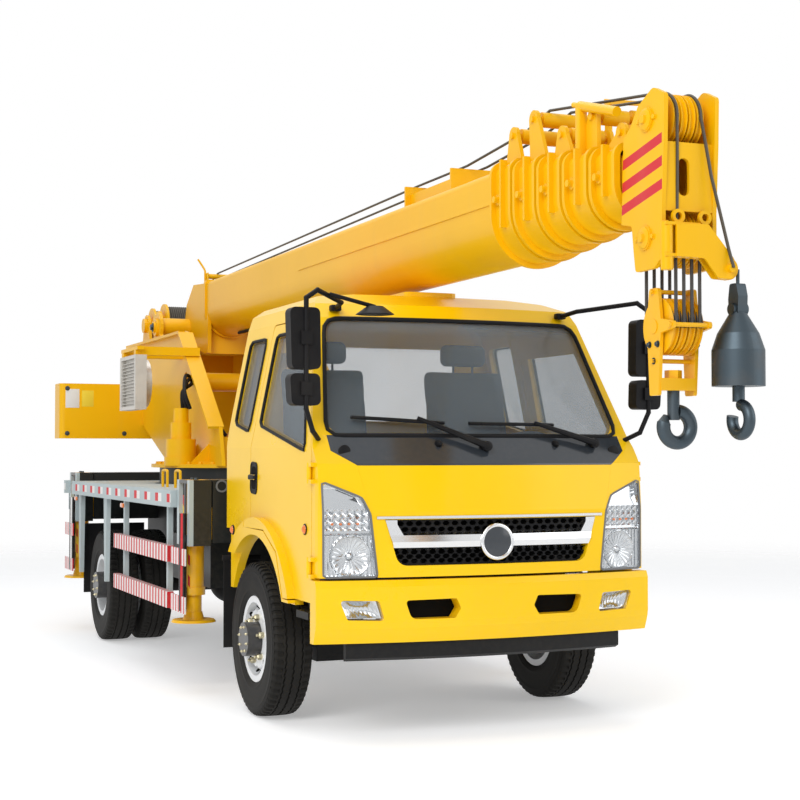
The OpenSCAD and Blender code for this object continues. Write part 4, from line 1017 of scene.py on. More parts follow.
@dataclass
class Wheels:
    """Tyres with a block tread, wheel nuts, hub bolts and dark discs of painted shade in the hand holes; the axle runs
    along Y.
    """

    crown: float = 0.4015
    blocks: int = 60
    depth: float = 0.009
    twin: float = 0.125
    nut_ring: float = 0.118
    nuts: int = 6
    nut_face: float = 0.0745
    nut_radius: float = 0.0165
    hub_bolts: int = 8
    hole_ring: float = 0.160
    holes: int = 8

    def tyre(self) -> Shape:
        """One tyre about the origin.

        Columns run over the outside from the tread's middle to the bead as (across, radius, groove, zigzag, notch):
        a groove goes right round, a notch cuts the shoulder between two blocks.

        Returns:
            The closed carcass with its pattern pressed in.
        """
        top = self.crown
        half = np.array([
            (0.0035, top, 1, 1, 0), (0.005, top, 0, 1, 0), (0.022, top, 0, 1, 0), (0.0385, top - 0.0004, 0, 1, 0),
            (0.040, top - 0.0004, 1, 1, 0), (0.0455, top - 0.0006, 1, 1, 0), (0.047, top - 0.0006, 0, 1, 0),
            (0.056, top - 0.001, 0, 0.6, 0), (0.0575, top - 0.001, 0, 0.6, 1), (0.074, top - 0.0025, 0, 0, 1),
            (0.088, top - 0.005, 0, 0, 1), (0.0965, 0.389, 0, 0, 1), (0.1005, 0.377, 0, 0, 0.9),
            (0.1015, 0.3755, 0, 0, 0), (0.1040, 0.357, 0, 0, 0), (0.1052, 0.3555, 0, 0, 0), (0.1056, 0.3515, 0, 0, 0),
            (0.1050, 0.350, 0, 0, 0), (0.1062, 0.330, 0, 0, 0), (0.1064, 0.305, 0, 0, 0), (0.1050, 0.275, 0, 0, 0),
            (0.1030, 0.257, 0, 0, 0), (0.1036, 0.255, 0, 0, 0), (0.1022, 0.250, 0, 0, 0), (0.1005, 0.2485, 0, 0, 0),
            (0.0975, 0.236, 0, 0, 0), (0.0915, 0.2275, 0, 0, 0), (0.0798, 0.2246, 0, 0, 0), (0.0768, 0.2062, 0, 0, 0),
        ])
        across = np.concatenate([-half[::-1, 0], half[:, 0]])[:, None]
        radius, groove, weave, notch = (np.concatenate([half[::-1, k], half[:, k]])[:, None] for k in range(1, 5))
        part = np.array([0.0, 0.03, 0.27, 0.30, 0.65])
        turn = ((np.arange(self.blocks)[:, None] + part).reshape(-1) / self.blocks)[None]
        cut = np.tile([1, 1, 1, 0, 0], self.blocks)[None] * 1.0
        zigzag = np.tile([1, 0.8, -0.8, -1, 0], self.blocks)[None] * 0.0028
        pressed = np.maximum(groove, notch * cut)
        lag = turn * 2 * np.pi + np.abs(across) * 0.35
        r = radius - self.depth * pressed
        return Shape.grid(Axis.Y.order(across + weave * zigzag, r * np.cos(lag), r * np.sin(lag)), wrap=True, loop=True)

    def nuts_at(self, face: float, count: int, ring: float, radius: float, height: float) -> Shape:
        """A ring of nuts with their studs on a face towards +Y.

        Args:
            face: the face's place along the axle.
            count: how many.
            ring: the radius of their ring.
            radius: a nut's radius.
            height: a nut's height.

        Returns:
            The ring of nuts about the origin.
        """
        nut = disc([(0, radius), (height * 0.8, radius), (height, radius * 0.82)], Axis.Y, 6)
        stud = disc([(0, radius * 0.5), (height * 1.5, radius * 0.5), (height * 1.6, radius * 0.35)], Axis.Y, 10)
        one = joined([nut, stud]).moved(0, face, ring)
        return one.spun(Axis.Y, np.arange(count) * 360 / count + 15)

    def build(self) -> None:
        """Puts treaded tyres, nuts and hub bolts on every wheel, and dark discs of painted shade in the hand holes."""
        tyre = self.tyre()
        pair = tyre.copies(np.array([[0, -self.twin, 0], [0, self.twin, 0]]))
        # dark discs of painted shade that fill the rims' hand holes
        hole_shade = disc([(-0.001, 0.0195), (0.001, 0.0195)], Axis.Y, 24)
        turns = np.arange(self.holes) * 360.0 / self.holes
        front = joined([self.nuts_at(self.nut_face, self.nuts, self.nut_ring, self.nut_radius, 0.026),
                        self.nuts_at(0.149, self.hub_bolts, 0.066, 0.007, 0.008)])
        rear = joined([self.nuts_at(self.nut_face, self.nuts, self.nut_ring, self.nut_radius, 0.03),
                       self.nuts_at(0.259, self.hub_bolts, 0.074, 0.008, 0.009)])
        for end, node, wheel, rubber, nuts, slope, depth in (
                ("front", "tyre_front", "wheel_front", tyre, front, -48, 0.0646),
                ("rear", "tyres_rear", "wheels_rear", pair, rear, 42, 0.0936)):
            hole_shades = hole_shade.turned(Axis.X, slope).moved(0, depth, self.hole_ring).spun(Axis.Y, turns)
            for hand in HANDS:
                centre, body = middle(f"{node}_{hand}"), f"{wheel}_{hand}"
                made = piece(f"tread_{end}_{hand}", rubber.moved(*centre), "tyre_rubber", body, 28.0)
                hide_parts(f"{node}_{hand}")
                piece(f"nuts_{end}_{hand}", nuts.on(hand).moved(*centre), "nut_plate", body)
                piece(f"hand_hole_shade_{end}_{hand}", hole_shades.on(hand).moved(*centre), "painted_shade", body)


@dataclass
class Lamps:
    """Reflectors behind the clear lenses, marker lamps, tail lamps and the dark centre of the grille's ring."""

    foot: float = 0.790
    sill: float = 1.240
    outer: float = 0.858
    bowl: tuple[float, float, float] = (0.728, 0.885, 0.090)
    rows: tuple[float, float] = (1.005, 1.108)
    ring_z: float = 0.9455

    def headlamp(self) -> Shape:
        """The left headlamp's housing: a bowl, rows of small square reflectors and a bright upper field.

        Returns:
            A surface that stands in the lens by its depth at each place.
        """
        v = np.linspace(0, 1, 120)[:, None]
        z = self.foot + (self.sill - self.foot) * v
        inner = np.interp(z, [0.785, 1.082, 1.165, 1.245], [0.604, 0.638, 0.676, self.outer])
        y = inner + (self.outer - inner) * np.linspace(0, 1, 90)[None]
        z = np.broadcast_to(z, y.shape)
        mid_y, mid_z, radius = self.bowl
        low, high = self.rows
        away = np.hypot(y - mid_y, (z - mid_z) * 0.98)
        bowl = np.clip(1 - (away / radius) ** 2, 0, 1)
        facets = 0.0016 * np.sin(np.arctan2(z - mid_z, y - mid_y) * 22) * np.clip(bowl * 3, 0, 1)
        bulb = np.clip(1 - (away / 0.021) ** 2, 0, 1)
        ring = np.exp(-(((away - 0.094) / 0.0035) ** 2))
        rows = ((z > low) & (z < high)).astype(float)
        cells = np.abs(np.sin((z - low) * np.pi / 0.0343)) * np.abs(np.sin((y - 0.61) * np.pi / 0.034))
        upper = np.clip((z - high) / 0.05, 0, 1) * np.clip((1.235 - z) / 0.03, 0, 1)
        upper = upper * np.clip((y - inner) / 0.02, 0, 1)
        rib = np.exp(-(((z - 0.990) / 0.0035) ** 2))
        lower = ((z < 0.985) & (away > 0.097)).astype(float)
        flutes = lower * np.abs(np.sin((y - 0.61) * np.pi / 0.02)) * 0.004
        depth = 0.017 + bowl * 0.020 + facets - bulb * 0.018 - ring * 0.005 - rib * 0.007
        depth = depth + rows * cells * 0.012 + upper * 0.014 + flutes
        edge = np.minimum(np.minimum(y - inner, self.outer - y), np.minimum(z - self.foot, self.sill - z))
        depth = np.where(edge < 0.006, 0.004, depth)
        return Shape.grid(np.stack([nose(y, z) - depth, y, z], axis=-1))

    def bezel(self) -> Shape:
        """The left headlamp's grey rim."""
        corners = [(0.603, 0.788), (0.859, 0.788), (0.861, 1.240), (0.674, 1.163), (0.637, 1.084)]
        y, z = dense(rounded(corners, 0.012), 0.02).T
        return tube(np.stack([nose(y, z, 0.0005), y, z], axis=-1), 0.005, 8)

    def fog(self) -> Shape:
        """The left fog lamp's fluted mirror, a little behind its lens."""
        v = np.linspace(0, 1, 40)[:, None]
        u = np.linspace(0, 1, 60)[None]
        low, high = 0.584 + u * 0.170, 0.610 + u * 0.172
        y, z = low + (high - low) * v, 0.592 + v * 0.082 + u * 0.002
        bowl = np.clip(1 - ((u - 0.5) / 0.48) ** 2, 0, 1) * np.clip(1 - ((v - 0.5) / 0.48) ** 2, 0, 1)
        depth = 0.012 + bowl * 0.026 + 0.0025 * np.abs(np.sin(u * np.pi * 9)) * bowl
        return Shape.grid(np.stack([nose(y, z, 0.006) - depth, y, z], axis=-1))

    def build(self) -> None:
        """Fits all lamps."""
        piece("headlamp_mirrors", self.headlamp().both_sides(), "mirror_plate", "chassis", 50.0)
        piece("headlamp_rims", self.bezel().both_sides(), "bezel_grey", "chassis")
        piece("fog_mirrors", self.fog().both_sides(), "mirror_plate", "chassis", 50.0)
        centre = disc([(0, 0.0715), (0.0018, 0.0715), (0.0026, 0.069)], Axis.X, 64)
        piece("ring_centre", centre.moved(ahead(1.0424), 0, self.ring_z), "gloss_black", "chassis")
        # dark sheets behind the grille and the lower slots: painted shade for their openings
        core = block((ahead(0.930), -0.58, 0.800), (ahead(0.938), 0.58, 1.056), 0.002)
        slots = block((ahead(0.962), -0.52, 0.560), (ahead(0.966), 0.52, 0.700), 0.001)
        piece("grille_shade", joined([core, slots]), "painted_shade", "chassis")
        beads, bead_z = [], 1.039
        for y in (0.695, 0.735, 0.775, 0.815):
            front = float(nose(y, bead_z))
            low, high = (front - 0.016, y - 0.007, bead_z - 0.006), (front - 0.006, y + 0.007, bead_z + 0.006)
            beads.append(block(low, high, 0.004))
        piece("headlamp_bulbs", joined(beads).both_sides(), "amber_lens", "chassis")
        self._markers()
        self._tail()

    @staticmethod
    def _markers() -> None:
        """Round amber lamps on doors and wheel arches, long ones along the deck."""
        button = disc([(-0.004, 0.023), (0.004, 0.022), (0.012, 0.015), (0.016, 0.006)], Axis.Y, 24)
        seat = disc([(-0.004, 0.027), (0.003, 0.027), (0.004, 0.025)], Axis.Y, 24)
        for hand in HANDS:
            for name, body, place in (("door", f"door_{hand}", (ahead(0.735), 0.8815, 1.007)),
                                      ("arch", "chassis", (ahead(-0.372), 0.9215, 0.955))):
                piece(f"{name}_marker_{hand}", button.moved(*place).on(hand), "amber_lens", body)
                piece(f"{name}_marker_seat_{hand}", seat.moved(*place).on(hand), "black_plastic", body)
        lamp = block((-0.045, 1.0995, 1.013), (0.045, 1.112, 1.043), 0.006)
        rows = [lamp.moved(ahead(x)) for x in (-2.352, -4.0)]
        piece("deck_markers", joined(rows).both_sides(), "amber_lens", "chassis")

    @staticmethod
    def _tail() -> None:
        """Red, amber and white lenses on the two plates at the back."""
        back = ahead(-4.5515)
        for name, finish, low, high in (("red", "red_lens", 0.92, 1.03), ("amber", "amber_lens", 0.80, 0.91),
                                        ("white", "clear_lens", 0.70, 0.79)):
            lens = block((back - 0.026, low, 0.975), (back, high, 1.095), 0.012, 5)
            piece(f"tail_{name}", lens.both_sides(), finish, "chassis")


@dataclass
class CabTrim:
    """Seals, wipers, washers, mirror glass, door handles, mud flaps, soft seats and headrests."""

    voxel: float = 0.02
    swell: float = 0.012
    frames: int = 20
    seat_foot: float = 1.03
    seat_place: tuple[float, float] = (-0.300, 0.430)
    mirror_y: float = 0.935

    @staticmethod
    def loop_on_nose(corners: Sequence[tuple[float, float]], radius: float, out: float) -> Array:
        """A rounded loop of (across, up) corners laid on the cab's front."""
        y, z = dense(rounded(corners, radius)).T
        return np.stack([nose(y, z, out), y, z], axis=-1)

    @staticmethod
    def loop_on_side(corners: Sequence[tuple[float, float]], radius: float, out: float) -> Array:
        """A rounded loop of (ahead, up) corners laid on the cab's left side."""
        x, z = dense(rounded(corners, radius)).T
        return np.stack([ahead(0) + x, side(z, out), z], axis=-1)

    def seals(self) -> None:
        """Rubber round the windscreen and the side windows, and the belt moulding of the doors."""
        screen = [(-0.803, 1.460), (0.803, 1.460), (0.703, 2.054), (-0.703, 2.054)]
        quarter = [(-0.562, 1.538), (-0.562, 1.997), (-0.258, 1.997), (-0.258, 1.488)]
        window = [(-0.087, 1.523), (-0.087, 2.002), (0.414, 2.002), (0.743, 1.383)]
        fixed = [tube(self.loop_on_nose(screen, 0.07, 0.0), 0.011, 8),
                 tube(self.loop_on_side(quarter, 0.04, 0.0), 0.009, 8).both_sides()]
        piece("fixed_seals", joined(fixed), "seal_rubber", "chassis")
        own = tube(self.loop_on_side(window, 0.035, 0.0), 0.009, 8)
        for hand in HANDS:
            piece(f"seal_{hand}", own.on(hand), "seal_rubber", f"door_{hand}")

    @staticmethod
    def wiper(pivot: Sequence[float], elbow: Sequence[float], tip: Sequence[float], heel: Sequence[float]) -> Shape:
        """One wiper: spindle, arm, blade carrier and rubber; places are (across, up) on the cab's front.

        Args:
            pivot: the spindle.
            elbow: where the arm meets the blade.
            tip: the blade's far end.
            heel: the blade's near end.

        Returns:
            The wiper.
        """
        def on(p: Sequence[float], out: float) -> list[float]:
            """A place on the glass, set out."""
            return [float(nose(p[0], p[1], out)), p[0], p[1]]

        def along(a: Sequence[float], b: Sequence[float], out: Sequence[float], count: int = 12) -> Array:
            """A line over the glass with a changing stand-off.

            Args:
                a: its start (across, up).
                b: its end.
                out: stand-offs at even steps along it.
                count: points on the line.

            Returns:
                Points (count, 3).
            """
            t = np.linspace(0, 1, count)
            y, z = (np.interp(t, [0, 1], [a[k], b[k]]) for k in (0, 1))
            return np.stack([nose(y, z, np.interp(t, np.linspace(0, 1, len(out)), out)), y, z], axis=-1)

        t = np.linspace(0, 1, 12)
        cap = tube([on(pivot, -0.01), on(pivot, 0.03), on(pivot, 0.046), on(pivot, 0.052)],
                   np.array([0.026, 0.026, 0.024, 0.012]), 20)
        arm = tube(along(pivot, elbow, [0.042, 0.046, 0.048]), np.interp(t, [0, 0.25, 1], [0.019, 0.016, 0.010]), 8)
        bow = tube(along(tip, heel, [0.018, 0.034, 0.044, 0.034, 0.018]), 0.0085, 8)
        rubber = tube(along(tip, heel, [0.010, 0.010]), 0.010, 6)
        ends = np.array([tip, heel])
        links = []
        for k in (0.12, 0.34, 0.56, 0.78):
            start, stop = (ends[0] * (1 - m) + ends[1] * m for m in (k, k + 0.09))
            links.append(tube(along(start, stop, [0.032, 0.012], 4), 0.0075, 6))
        return joined([cap, arm, bow, rubber, *links])

    def front(self) -> None:
        """Two wipers and two washer jets over the cowl."""
        near = self.wiper((-0.02, 1.409), (-0.354, 1.546), (-0.671, 1.549), (-0.209, 1.522))
        far = self.wiper((0.613, 1.426), (0.278, 1.526), (-0.074, 1.521), (0.400, 1.517))
        piece("wipers", joined([near, far]), "black_plastic", "chassis")
        jets = [disc([(-0.004, 0.020), (0.006, 0.019), (0.020, 0.012), (0.028, 0.006)], Axis.X, 20).moved(
            float(nose(y, 1.419)), y, 1.419) for y in (-0.259, 0.388)]
        cups = [disc([(-0.004, 0.030), (0.005, 0.030), (0.007, 0.027)], Axis.X, 24).moved(
            float(nose(y, 1.384)), y, 1.384) for y in (-0.735, 0.735)]
        piece("washers", joined(jets + cups), "black_plastic", "chassis")

    def sides(self) -> None:
        """Mirror glass and stays, handles with dark plates of painted shade in their recesses, and mud flaps."""
        glass = []
        for low, high in ((1.612, 1.740), (1.785, 2.052)):
            corners = [(-0.062, low), (0.060, low), (0.068, high), (-0.058, high)]
            outline = rounded([(dy + self.mirror_y, z) for dy, z in corners], 0.02)
            glass.append(plate(outline, Axis.X, ahead(0.8235), ahead(0.8262), 0.001))
        stay = joined([tube([(ahead(0.645), 0.662, 2.121), (ahead(0.50), 0.640, 2.105)], 0.012, 10),
                       block((ahead(0.47), 0.612, 2.090), (ahead(0.515), 0.668, 2.122), 0.008)])
        piece("mirror_stays", stay.both_sides(), "black_plastic", "chassis")
        piece("mirror_glass", joined(glass).both_sides(), "mirror_plate", "chassis")
        x = ahead(-0.112)
        outer = rounded([(x - 0.058, 1.165), (x + 0.050, 1.158), (x + 0.062, 1.318), (x - 0.050, 1.325)], 0.03)
        rim = np.stack([outer[:, 0], np.full(len(outer), 0.8805), outer[:, 1]], axis=-1)
        surround = plate(outer, Axis.Y, 0.8795, 0.8822, 0.001)
        lip = tube(np.concatenate([rim, rim[:2]]), 0.006, 8)
        # a dark plate of painted shade in each handle's recess
        recess_shade = plate(rounded([(x - 0.040, 1.185), (x + 0.034, 1.180), (x + 0.044, 1.300), (x - 0.034, 1.305)], 0.025),
                     Axis.Y, 0.8815, 0.8830, 0.0005)
        grip = block((x - 0.056, 0.874, 1.2305), (x + 0.056, 0.9005, 1.2615), 0.010, 5)
        handle = joined([surround, lip, grip])
        for hand in HANDS:
            piece(f"handle_{hand}", handle.on(hand), "black_plastic", f"door_{hand}")
            piece(f"handle_recess_shade_{hand}", recess_shade.on(hand), "painted_shade", f"door_{hand}")
        flap = plate([(0.700, 0.285), (0.905, 0.285), (0.905, 0.800), (0.700, 0.800)], Axis.X,
                     ahead(-0.612), ahead(-0.604), 0.002)
        clamp = block((ahead(-0.622), 0.690, 0.770), (ahead(-0.600), 0.912, 0.800), 0.004)
        rear = plate([(0.540, 0.300), (1.010, 0.300), (1.010, 0.830), (0.540, 0.830)], Axis.X,
                     ahead(-4.172), ahead(-4.164), 0.002)
        piece("mud_flaps", joined([flap, clamp, rear]).both_sides(), "seal_rubber", "chassis")

    def seat_pads(self) -> None:
        """The two seats as stuffed pads: a copy of the solid, remeshed, swollen by a cloth run and smoothed."""
        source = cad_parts["seats"]
        pad = bpy.data.objects.new("seat_pads", source.data.copy())
        bpy.context.collection.objects.link(pad)
        pad.matrix_world = source.matrix_world
        bpy.context.view_layer.objects.active = pad
        remesh = pad.modifiers.new("remesh", "REMESH")
        remesh.mode, remesh.voxel_size = "VOXEL", self.voxel
        smooth = pad.modifiers.new("smooth", "SMOOTH")
        smooth.factor, smooth.iterations = 0.5, 4
        self._apply(pad)
        start = self._points(pad)
        cloth = pad.modifiers.new("cloth", "CLOTH")
        cloth.settings.use_pressure, cloth.settings.uniform_pressure_force = True, 4.0
        cloth.settings.effector_weights.gravity = 0.0
        cloth.settings.quality = 4
        scene = bpy.context.scene
        for step in range(1, self.frames + 1):
            scene.frame_set(step)
        self._apply(pad)
        scene.frame_set(1)
        moved = self._points(pad) - start
        far = np.linalg.norm(moved, axis=1, keepdims=True)
        held = start + moved * np.minimum(1.0, self.swell / np.maximum(far, 1e-6))
        held[:, 2] = np.where(start[:, 2] < self.seat_foot, start[:, 2], held[:, 2])
        pad.data.vertices.foreach_set("co", held.astype(np.float32).ravel())
        pad.data.update()
        finer = pad.modifiers.new("finer", "SUBSURF")
        finer.levels = finer.render_levels = 1
        self._apply(pad)
        pad.data.materials.clear()
        pad.data.materials.append(FINISHES.made["seat_cloth"])
        pad.data.shade_smooth()
        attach(pad, "chassis")
        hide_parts("seats")
        LOG.info("%s: %d faces", pad.name, len(pad.data.polygons))

    def headrests(self) -> None:
        """A small cushion on two stalks over each seat back."""
        x, y = ahead(self.seat_place[0]), self.seat_place[1]
        cushion = block((x - 0.045, y - 0.135, 1.872), (x + 0.045, y + 0.135, 1.995), 0.035, 6)
        stalks = [tube([(x, y + dy, 1.830), (x, y + dy, 1.885)], 0.007, 10) for dy in (-0.06, 0.06)]
        piece("headrests", joined([cushion, *stalks]).both_sides(), "seat_cloth", "chassis")

    @staticmethod
    def _apply(pad: bpy.types.Object) -> None:
        """Turns the modifiers' result into the mesh itself.

        Args:
            pad: the object whose modifiers are applied.
        """
        shape = bpy.data.meshes.new_from_object(pad.evaluated_get(bpy.context.evaluated_depsgraph_get()))
        pad.modifiers.clear()
        pad.data = shape

    @staticmethod
    def _points(pad: bpy.types.Object) -> Array:
        """Reads a mesh's points.

        Args:
            pad: the object that holds the mesh.

        Returns:
            Points (count, 3).
        """
        flat = np.empty(len(pad.data.vertices) * 3, np.float32)
        pad.data.vertices.foreach_get("co", flat)
        return flat.reshape(-1, 3).astype(float)

    def build(self) -> None:
        """Fits everything on the cab."""
        self.seals()
        self.front()
        self.sides()
        self.seat_pads()
        self.headrests()


@dataclass
class Rigging:
    """Wire ropes from the winches over the boom to the head, and their windings on the drums."""

    rope: float = 0.0065
    lanes: tuple[float, float] = (-0.054, 0.054)
    drums: tuple[float, float] = (-4.575, -4.990)
    drum_z: float = 2.440
    drum_half: float = 0.278
    drum_core: float = 0.1215
    laid: int = 33
    roller: tuple[float, float] = (-3.81, 2.7685)
    splice: tuple[float, float] = (-3.4, 2.773)
    sheave: tuple[float, float, float] = (2.636, 2.678, 0.1075)

    def windings(self) -> Shape:
        """Laid turns of rope on both drums."""
        half = self.drum_half
        along = np.linspace(-half, half, self.laid * 6 + 1)
        turns = self.drum_core + 0.008 * np.abs(np.sin((along + half) / (2 * half) * self.laid * np.pi))
        one = disc(np.stack([along, turns], axis=-1), Axis.Y, 40)
        return joined([one.moved(ahead(x), 0, self.drum_z) for x in self.drums])

    def stretch(self, name: str, stops: Sequence[tuple[float, float, float]], count: int = 24) -> bpy.types.Object:
        """A free run of rope through stops given ahead of the front axle, not yet on any body.

        Args:
            name: the piece's name.
            stops: its corners.
            count: points along it.

        Returns:
            The rope's object.
        """
        p = np.array(stops, float)
        run = np.concatenate([[0], np.cumsum(np.linalg.norm(np.diff(p, axis=0), axis=1))])
        at = np.linspace(0, run[-1], count)
        line = np.stack([np.interp(at, run, p[:, k]) for k in range(3)], axis=-1)
        line[:, 0] += ahead(0)
        return loose(name, tube(line, self.rope, 8), "wire_rope")

    def over_boom(self) -> None:
        """Both ropes from drum to head, cut where a section ends; only the run along the base section rides on a body,
        the tail and the upper runs stay fixed in the frame.
        """
        cuts = [1.45, 1.70, 1.93, 2.17, 2.37, 2.56]
        heights = np.interp(cuts, [1.45, 1.531, 1.696, 2.636], [2.858, 2.868, 2.912, 2.790])
        for lane, y in enumerate(self.lanes):
            roller, splice = ((x, y, z) for x, z in (self.roller, self.splice))
            tail = self.stretch(f"rope_tail_{lane}", [(self.drums[lane], y, self.drum_z + 0.134), roller, splice])
            ahead(-4.5)
            ahead(-3.9)
            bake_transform(tail)
            along = [splice, (0.2, y, 2.813), (0.8, y, 2.813), (cuts[0], y, float(heights[0]))]
            base = self.stretch(f"rope_base_{lane}", along)
            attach(base, "boom_base")
            for k in range(5):
                ends = [(cuts[k + n], y, float(heights[k + n])) for n in (0, 1)]
                run = self.stretch(f"rope_{lane}_{k}", ends, 14)
                [(ahead(e[0]), e[1], e[2]) for e in ends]
                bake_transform(run)

    def head(self) -> None:
        """The ropes over the upper sheave, one down to the lower sheave and one aside to the jib sheave."""
        turn = np.radians(np.linspace(118, 0, 14))
        x, z, radius = self.sheave
        arc = np.stack([x + radius * np.cos(turn), 0 * turn, z + radius * np.sin(turn)], axis=-1)
        top = np.array([[2.56, 0, 2.800]])
        main = np.concatenate([top, arc, [[2.742, 0, 2.45], [2.738, 0, 2.26]]]) + [0, self.lanes[0], 0]
        aside = np.concatenate([top, arc]) + [0, self.lanes[1], 0]
        aside = np.concatenate([aside, [[2.765, 0.085, 2.45], [2.800, 0.140, 2.16], [2.818, 0.149, 2.09]]])
        runs = [tube(line + [ahead(0), 0, 0], self.rope, 8) for line in (main, aside)]
        piece("rope_head", joined(runs), "wire_rope", "boom_sixth")

    def build(self) -> None:
        """Reeves all ropes."""
        piece("windings", self.windings(), "wire_rope", "turret", 60.0)
        self.over_boom()
        self.head()


@dataclass
class Upperworks:
    """Bolts, pins, hoses, label sheets and small fittings of the crane itself."""

    table_z: float = 1.295
    ring: float = 0.695
    ring_bolts: int = 44

    def turret(self) -> None:
        """Slewing-ring bolts, pivot and tail-box bolts, blank sheets on the tail box and hoses."""
        angle = np.arange(self.ring_bolts) * 2 * np.pi / self.ring_bolts
        places = np.stack([ahead(SLEW_X) + self.ring * np.cos(angle), self.ring * np.sin(angle),
                           np.full(self.ring_bolts, self.table_z - 0.0005)], axis=-1)
        piece("ring_bolts", hex_bolts(places, Axis.Z, 0.015, 0.018), "crane_paint", "turret")
        sheet = ahead(-4.6402)
        white = block((sheet - 0.001, -1.075, 1.735), (sheet + 0.0015, -0.965, 1.885), 0.001)
        yellow = block((sheet - 0.001, -0.945, 1.745), (sheet + 0.0015, -0.850, 1.875), 0.001)
        piece("sheet_white", white, "label_white", "turret")
        piece("sheet_yellow", yellow, "label_yellow", "turret")
        tail = [(ahead(-4.6395), y, z) for y in (-1.06, -0.60, 0.60, 1.06) for z in (1.53, 1.89)]
        pivot = hex_bolts(np.array([(ahead(-4.15), 0.4845, 2.36)]), Axis.Y, 0.026, 0.02).both_sides()
        bolts = joined([hex_bolts(np.array(tail), Axis.X, 0.014, 0.014), pivot])
        piece("turret_bolts", bolts, "steel", "turret")
        hoses = [flowing([(ahead(-2.75) + 0.03 * k, -0.60 + 0.02 * k, 1.68), (ahead(-2.75) + 0.03 * k, -0.60, 1.80),
                          (ahead(-2.90), -0.50 - 0.02 * k, 1.86 + 0.03 * k), (ahead(-3.12), -0.44, 1.88 + 0.02 * k),
                          (ahead(-3.24), -0.38, 1.88 + 0.02 * k)]) for k in range(3)]
        piece("slew_hoses", joined([tube(h, 0.013, 8) for h in hoses]), "seal_rubber", "turret")
        lines = [flowing([(ahead(-3.26), y, 1.50), (ahead(-3.34), y * 1.5, 1.62), (ahead(-3.52), y * 1.8, 1.70),
                          (ahead(-3.80), y * 2.0, 1.66), (ahead(-4.2), y * 2.2, 1.72)]) for y in (-0.14, 0.14)]
        piece("luff_hoses", joined([tube(h, 0.014, 8) for h in lines]), "seal_rubber", "turret")

    @staticmethod
    def boom() -> None:
        """Pin heads on the boom head, the fittings over the collars, and roller and hose of the base section."""
        seats = np.array([(ahead(HOOK_X), 0.1235, 2.215), (ahead(2.636), 0.1235, 2.678)])
        cap = disc([(0, 0.042), (0.012, 0.042), (0.016, 0.036), (0.016, 0.018), (0.026, 0.016)], Axis.Y, 28)
        spots = np.concatenate([seats + [0.058, 0, 0.0], seats + [-0.058, 0, 0.0]])
        pins = joined([cap.copies(seats), hex_bolts(spots, Axis.Y, 0.010, 0.011)])
        piece("head_pins", pins.both_sides(), "head_paint", "boom_sixth")
        strut = tube([(ahead(2.089), -0.115, 2.846), (ahead(2.393), -0.115, 2.760)], 0.021, 16)
        rod = tube([(ahead(2.03), -0.115, 2.863), (ahead(2.10), -0.115, 2.843)], 0.012, 12)
        foot = block((ahead(2.075), -0.135, 2.60), (ahead(2.115), -0.095, 2.85), 0.006)
        piece("collar_strut", joined([strut, rod, foot]), "crane_paint", "boom_fourth")
        bar = plate([(ahead(1.90), 2.913), (ahead(2.223), 2.836), (ahead(2.229), 2.856), (ahead(1.906), 2.935)], Axis.Y,
                    0.105, 0.117, 0.002)
        post = block((ahead(1.915), 0.1005, 2.62), (ahead(1.955), 0.1205, 2.915), 0.005)
        piece("collar_bar", joined([bar, post]), "crane_paint", "boom_third")
        finger = tube([(ahead(-3.83), -0.150, 2.68), (ahead(-3.83), -0.150, 2.785), (ahead(-3.835), -0.158, 2.805),
                       (ahead(-3.84), -0.205, 2.875)], 0.008, 10)
        roller = disc([(-0.128, 0.012), (-0.128, 0.020), (0.128, 0.020), (0.128, 0.012)], Axis.Y, 20)
        arm = block((ahead(-3.832), 0.131, 2.680), (ahead(-3.788), 0.143, 2.770), 0.004).both_sides()
        piece("rope_roller", joined([roller.moved(ahead(-3.81), 0, 2.742), arm, finger]), "crane_paint", "boom_base")
        hose = flowing([(ahead(-1.50), -0.060, 2.262), (ahead(-1.9), -0.060, 2.262), (ahead(-2.6), -0.060, 2.262),
                        (ahead(-3.2), -0.060, 2.262)], 6)
        piece("boom_hose", tube(hose, 0.012, 8), "seal_rubber", "boom_base")

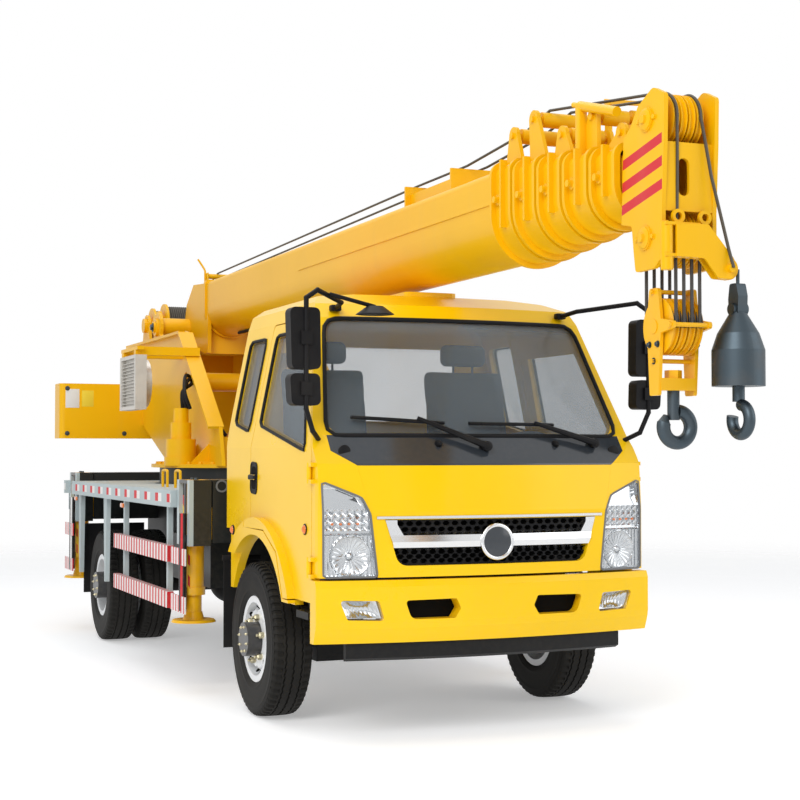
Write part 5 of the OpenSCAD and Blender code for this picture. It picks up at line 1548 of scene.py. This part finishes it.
    @staticmethod
    def deck() -> None:
        """Staples beside the pedestal, hole rings on the front outrigger box and bolts on the jacks."""
        staple = tube(flowing([(0, 0, -0.004), (0, 0, 0.085), (0.015, 0, 0.105), (0.105, 0, 0.105), (0.12, 0, 0.085),
                               (0.12, 0, -0.004)], 6), 0.009, 10)
        spots = np.array([(ahead(-1.95), -0.93, 1.157), (ahead(-1.62), -0.93, 1.157)])
        piece("deck_staples", staple.copies(spots).both_sides(), "crane_paint", "chassis")
        hole = revolve([(-0.002, 0.036), (0.004, 0.036), (0.004, 0.026), (-0.002, 0.026)], Axis.X, 32)
        eyes = hole.moved(ahead(-0.76), 0.875, 1.185).both_sides()
        piece("box_holes", eyes, "bezel_grey", "chassis")
        for end, jack in JACK_X.items():
            seats = np.array([(ahead(jack + dx), 1.0, 1.2195) for dx in (-0.045, 0.045)])
            bolts = hex_bolts(seats, Axis.Z, 0.011, 0.012)
            for hand in HANDS:
                piece(f"jack_bolts_{end}_{hand}", bolts.on(hand), "steel", f"beam_{end}_{hand}")

    @staticmethod
    def hooks() -> None:
        """Plate bolts of the hook block and the ball's lower bolts."""
        hook_x = ahead(HOOK_X)
        seats = np.array([(hook_x, 0.0878, 1.735), (hook_x - 0.03, 0.0878, 1.80), (hook_x + 0.03, 0.0878, 1.80)])
        piece("block_bolts", hex_bolts(seats, Axis.Y, 0.010, 0.012).both_sides(), "steel", "hook_block")
        mid = middle("ball_hook")
        angle = np.arange(10) * 36.0
        bolt = disc([(0, 0.008), (-0.010, 0.008), (-0.012, 0.006)], Axis.Z, 6).moved(0.062, 0, 0)
        ring = bolt.spun(Axis.Z, angle).moved(mid.x, mid.y, 1.6795)
        piece("ball_bolts", ring, "steel", "ball_hook")

    def build(self) -> None:
        """Fits everything on deck and crane."""
        self.turret()
        self.boom()
        self.deck()
        self.hooks()


def main() -> None:
    """Builds the studio, the finishes and the pieces, in order."""
    logging.basicConfig(level=logging.INFO, format="%(name)s %(message)s")
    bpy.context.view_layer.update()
    Studio().build()
    FINISHES.build()
    for part in (Wheels(), Lamps(), CabTrim(), Rigging(), Upperworks()):
        part.build()
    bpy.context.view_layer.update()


if __name__ == "__main__":
    main()
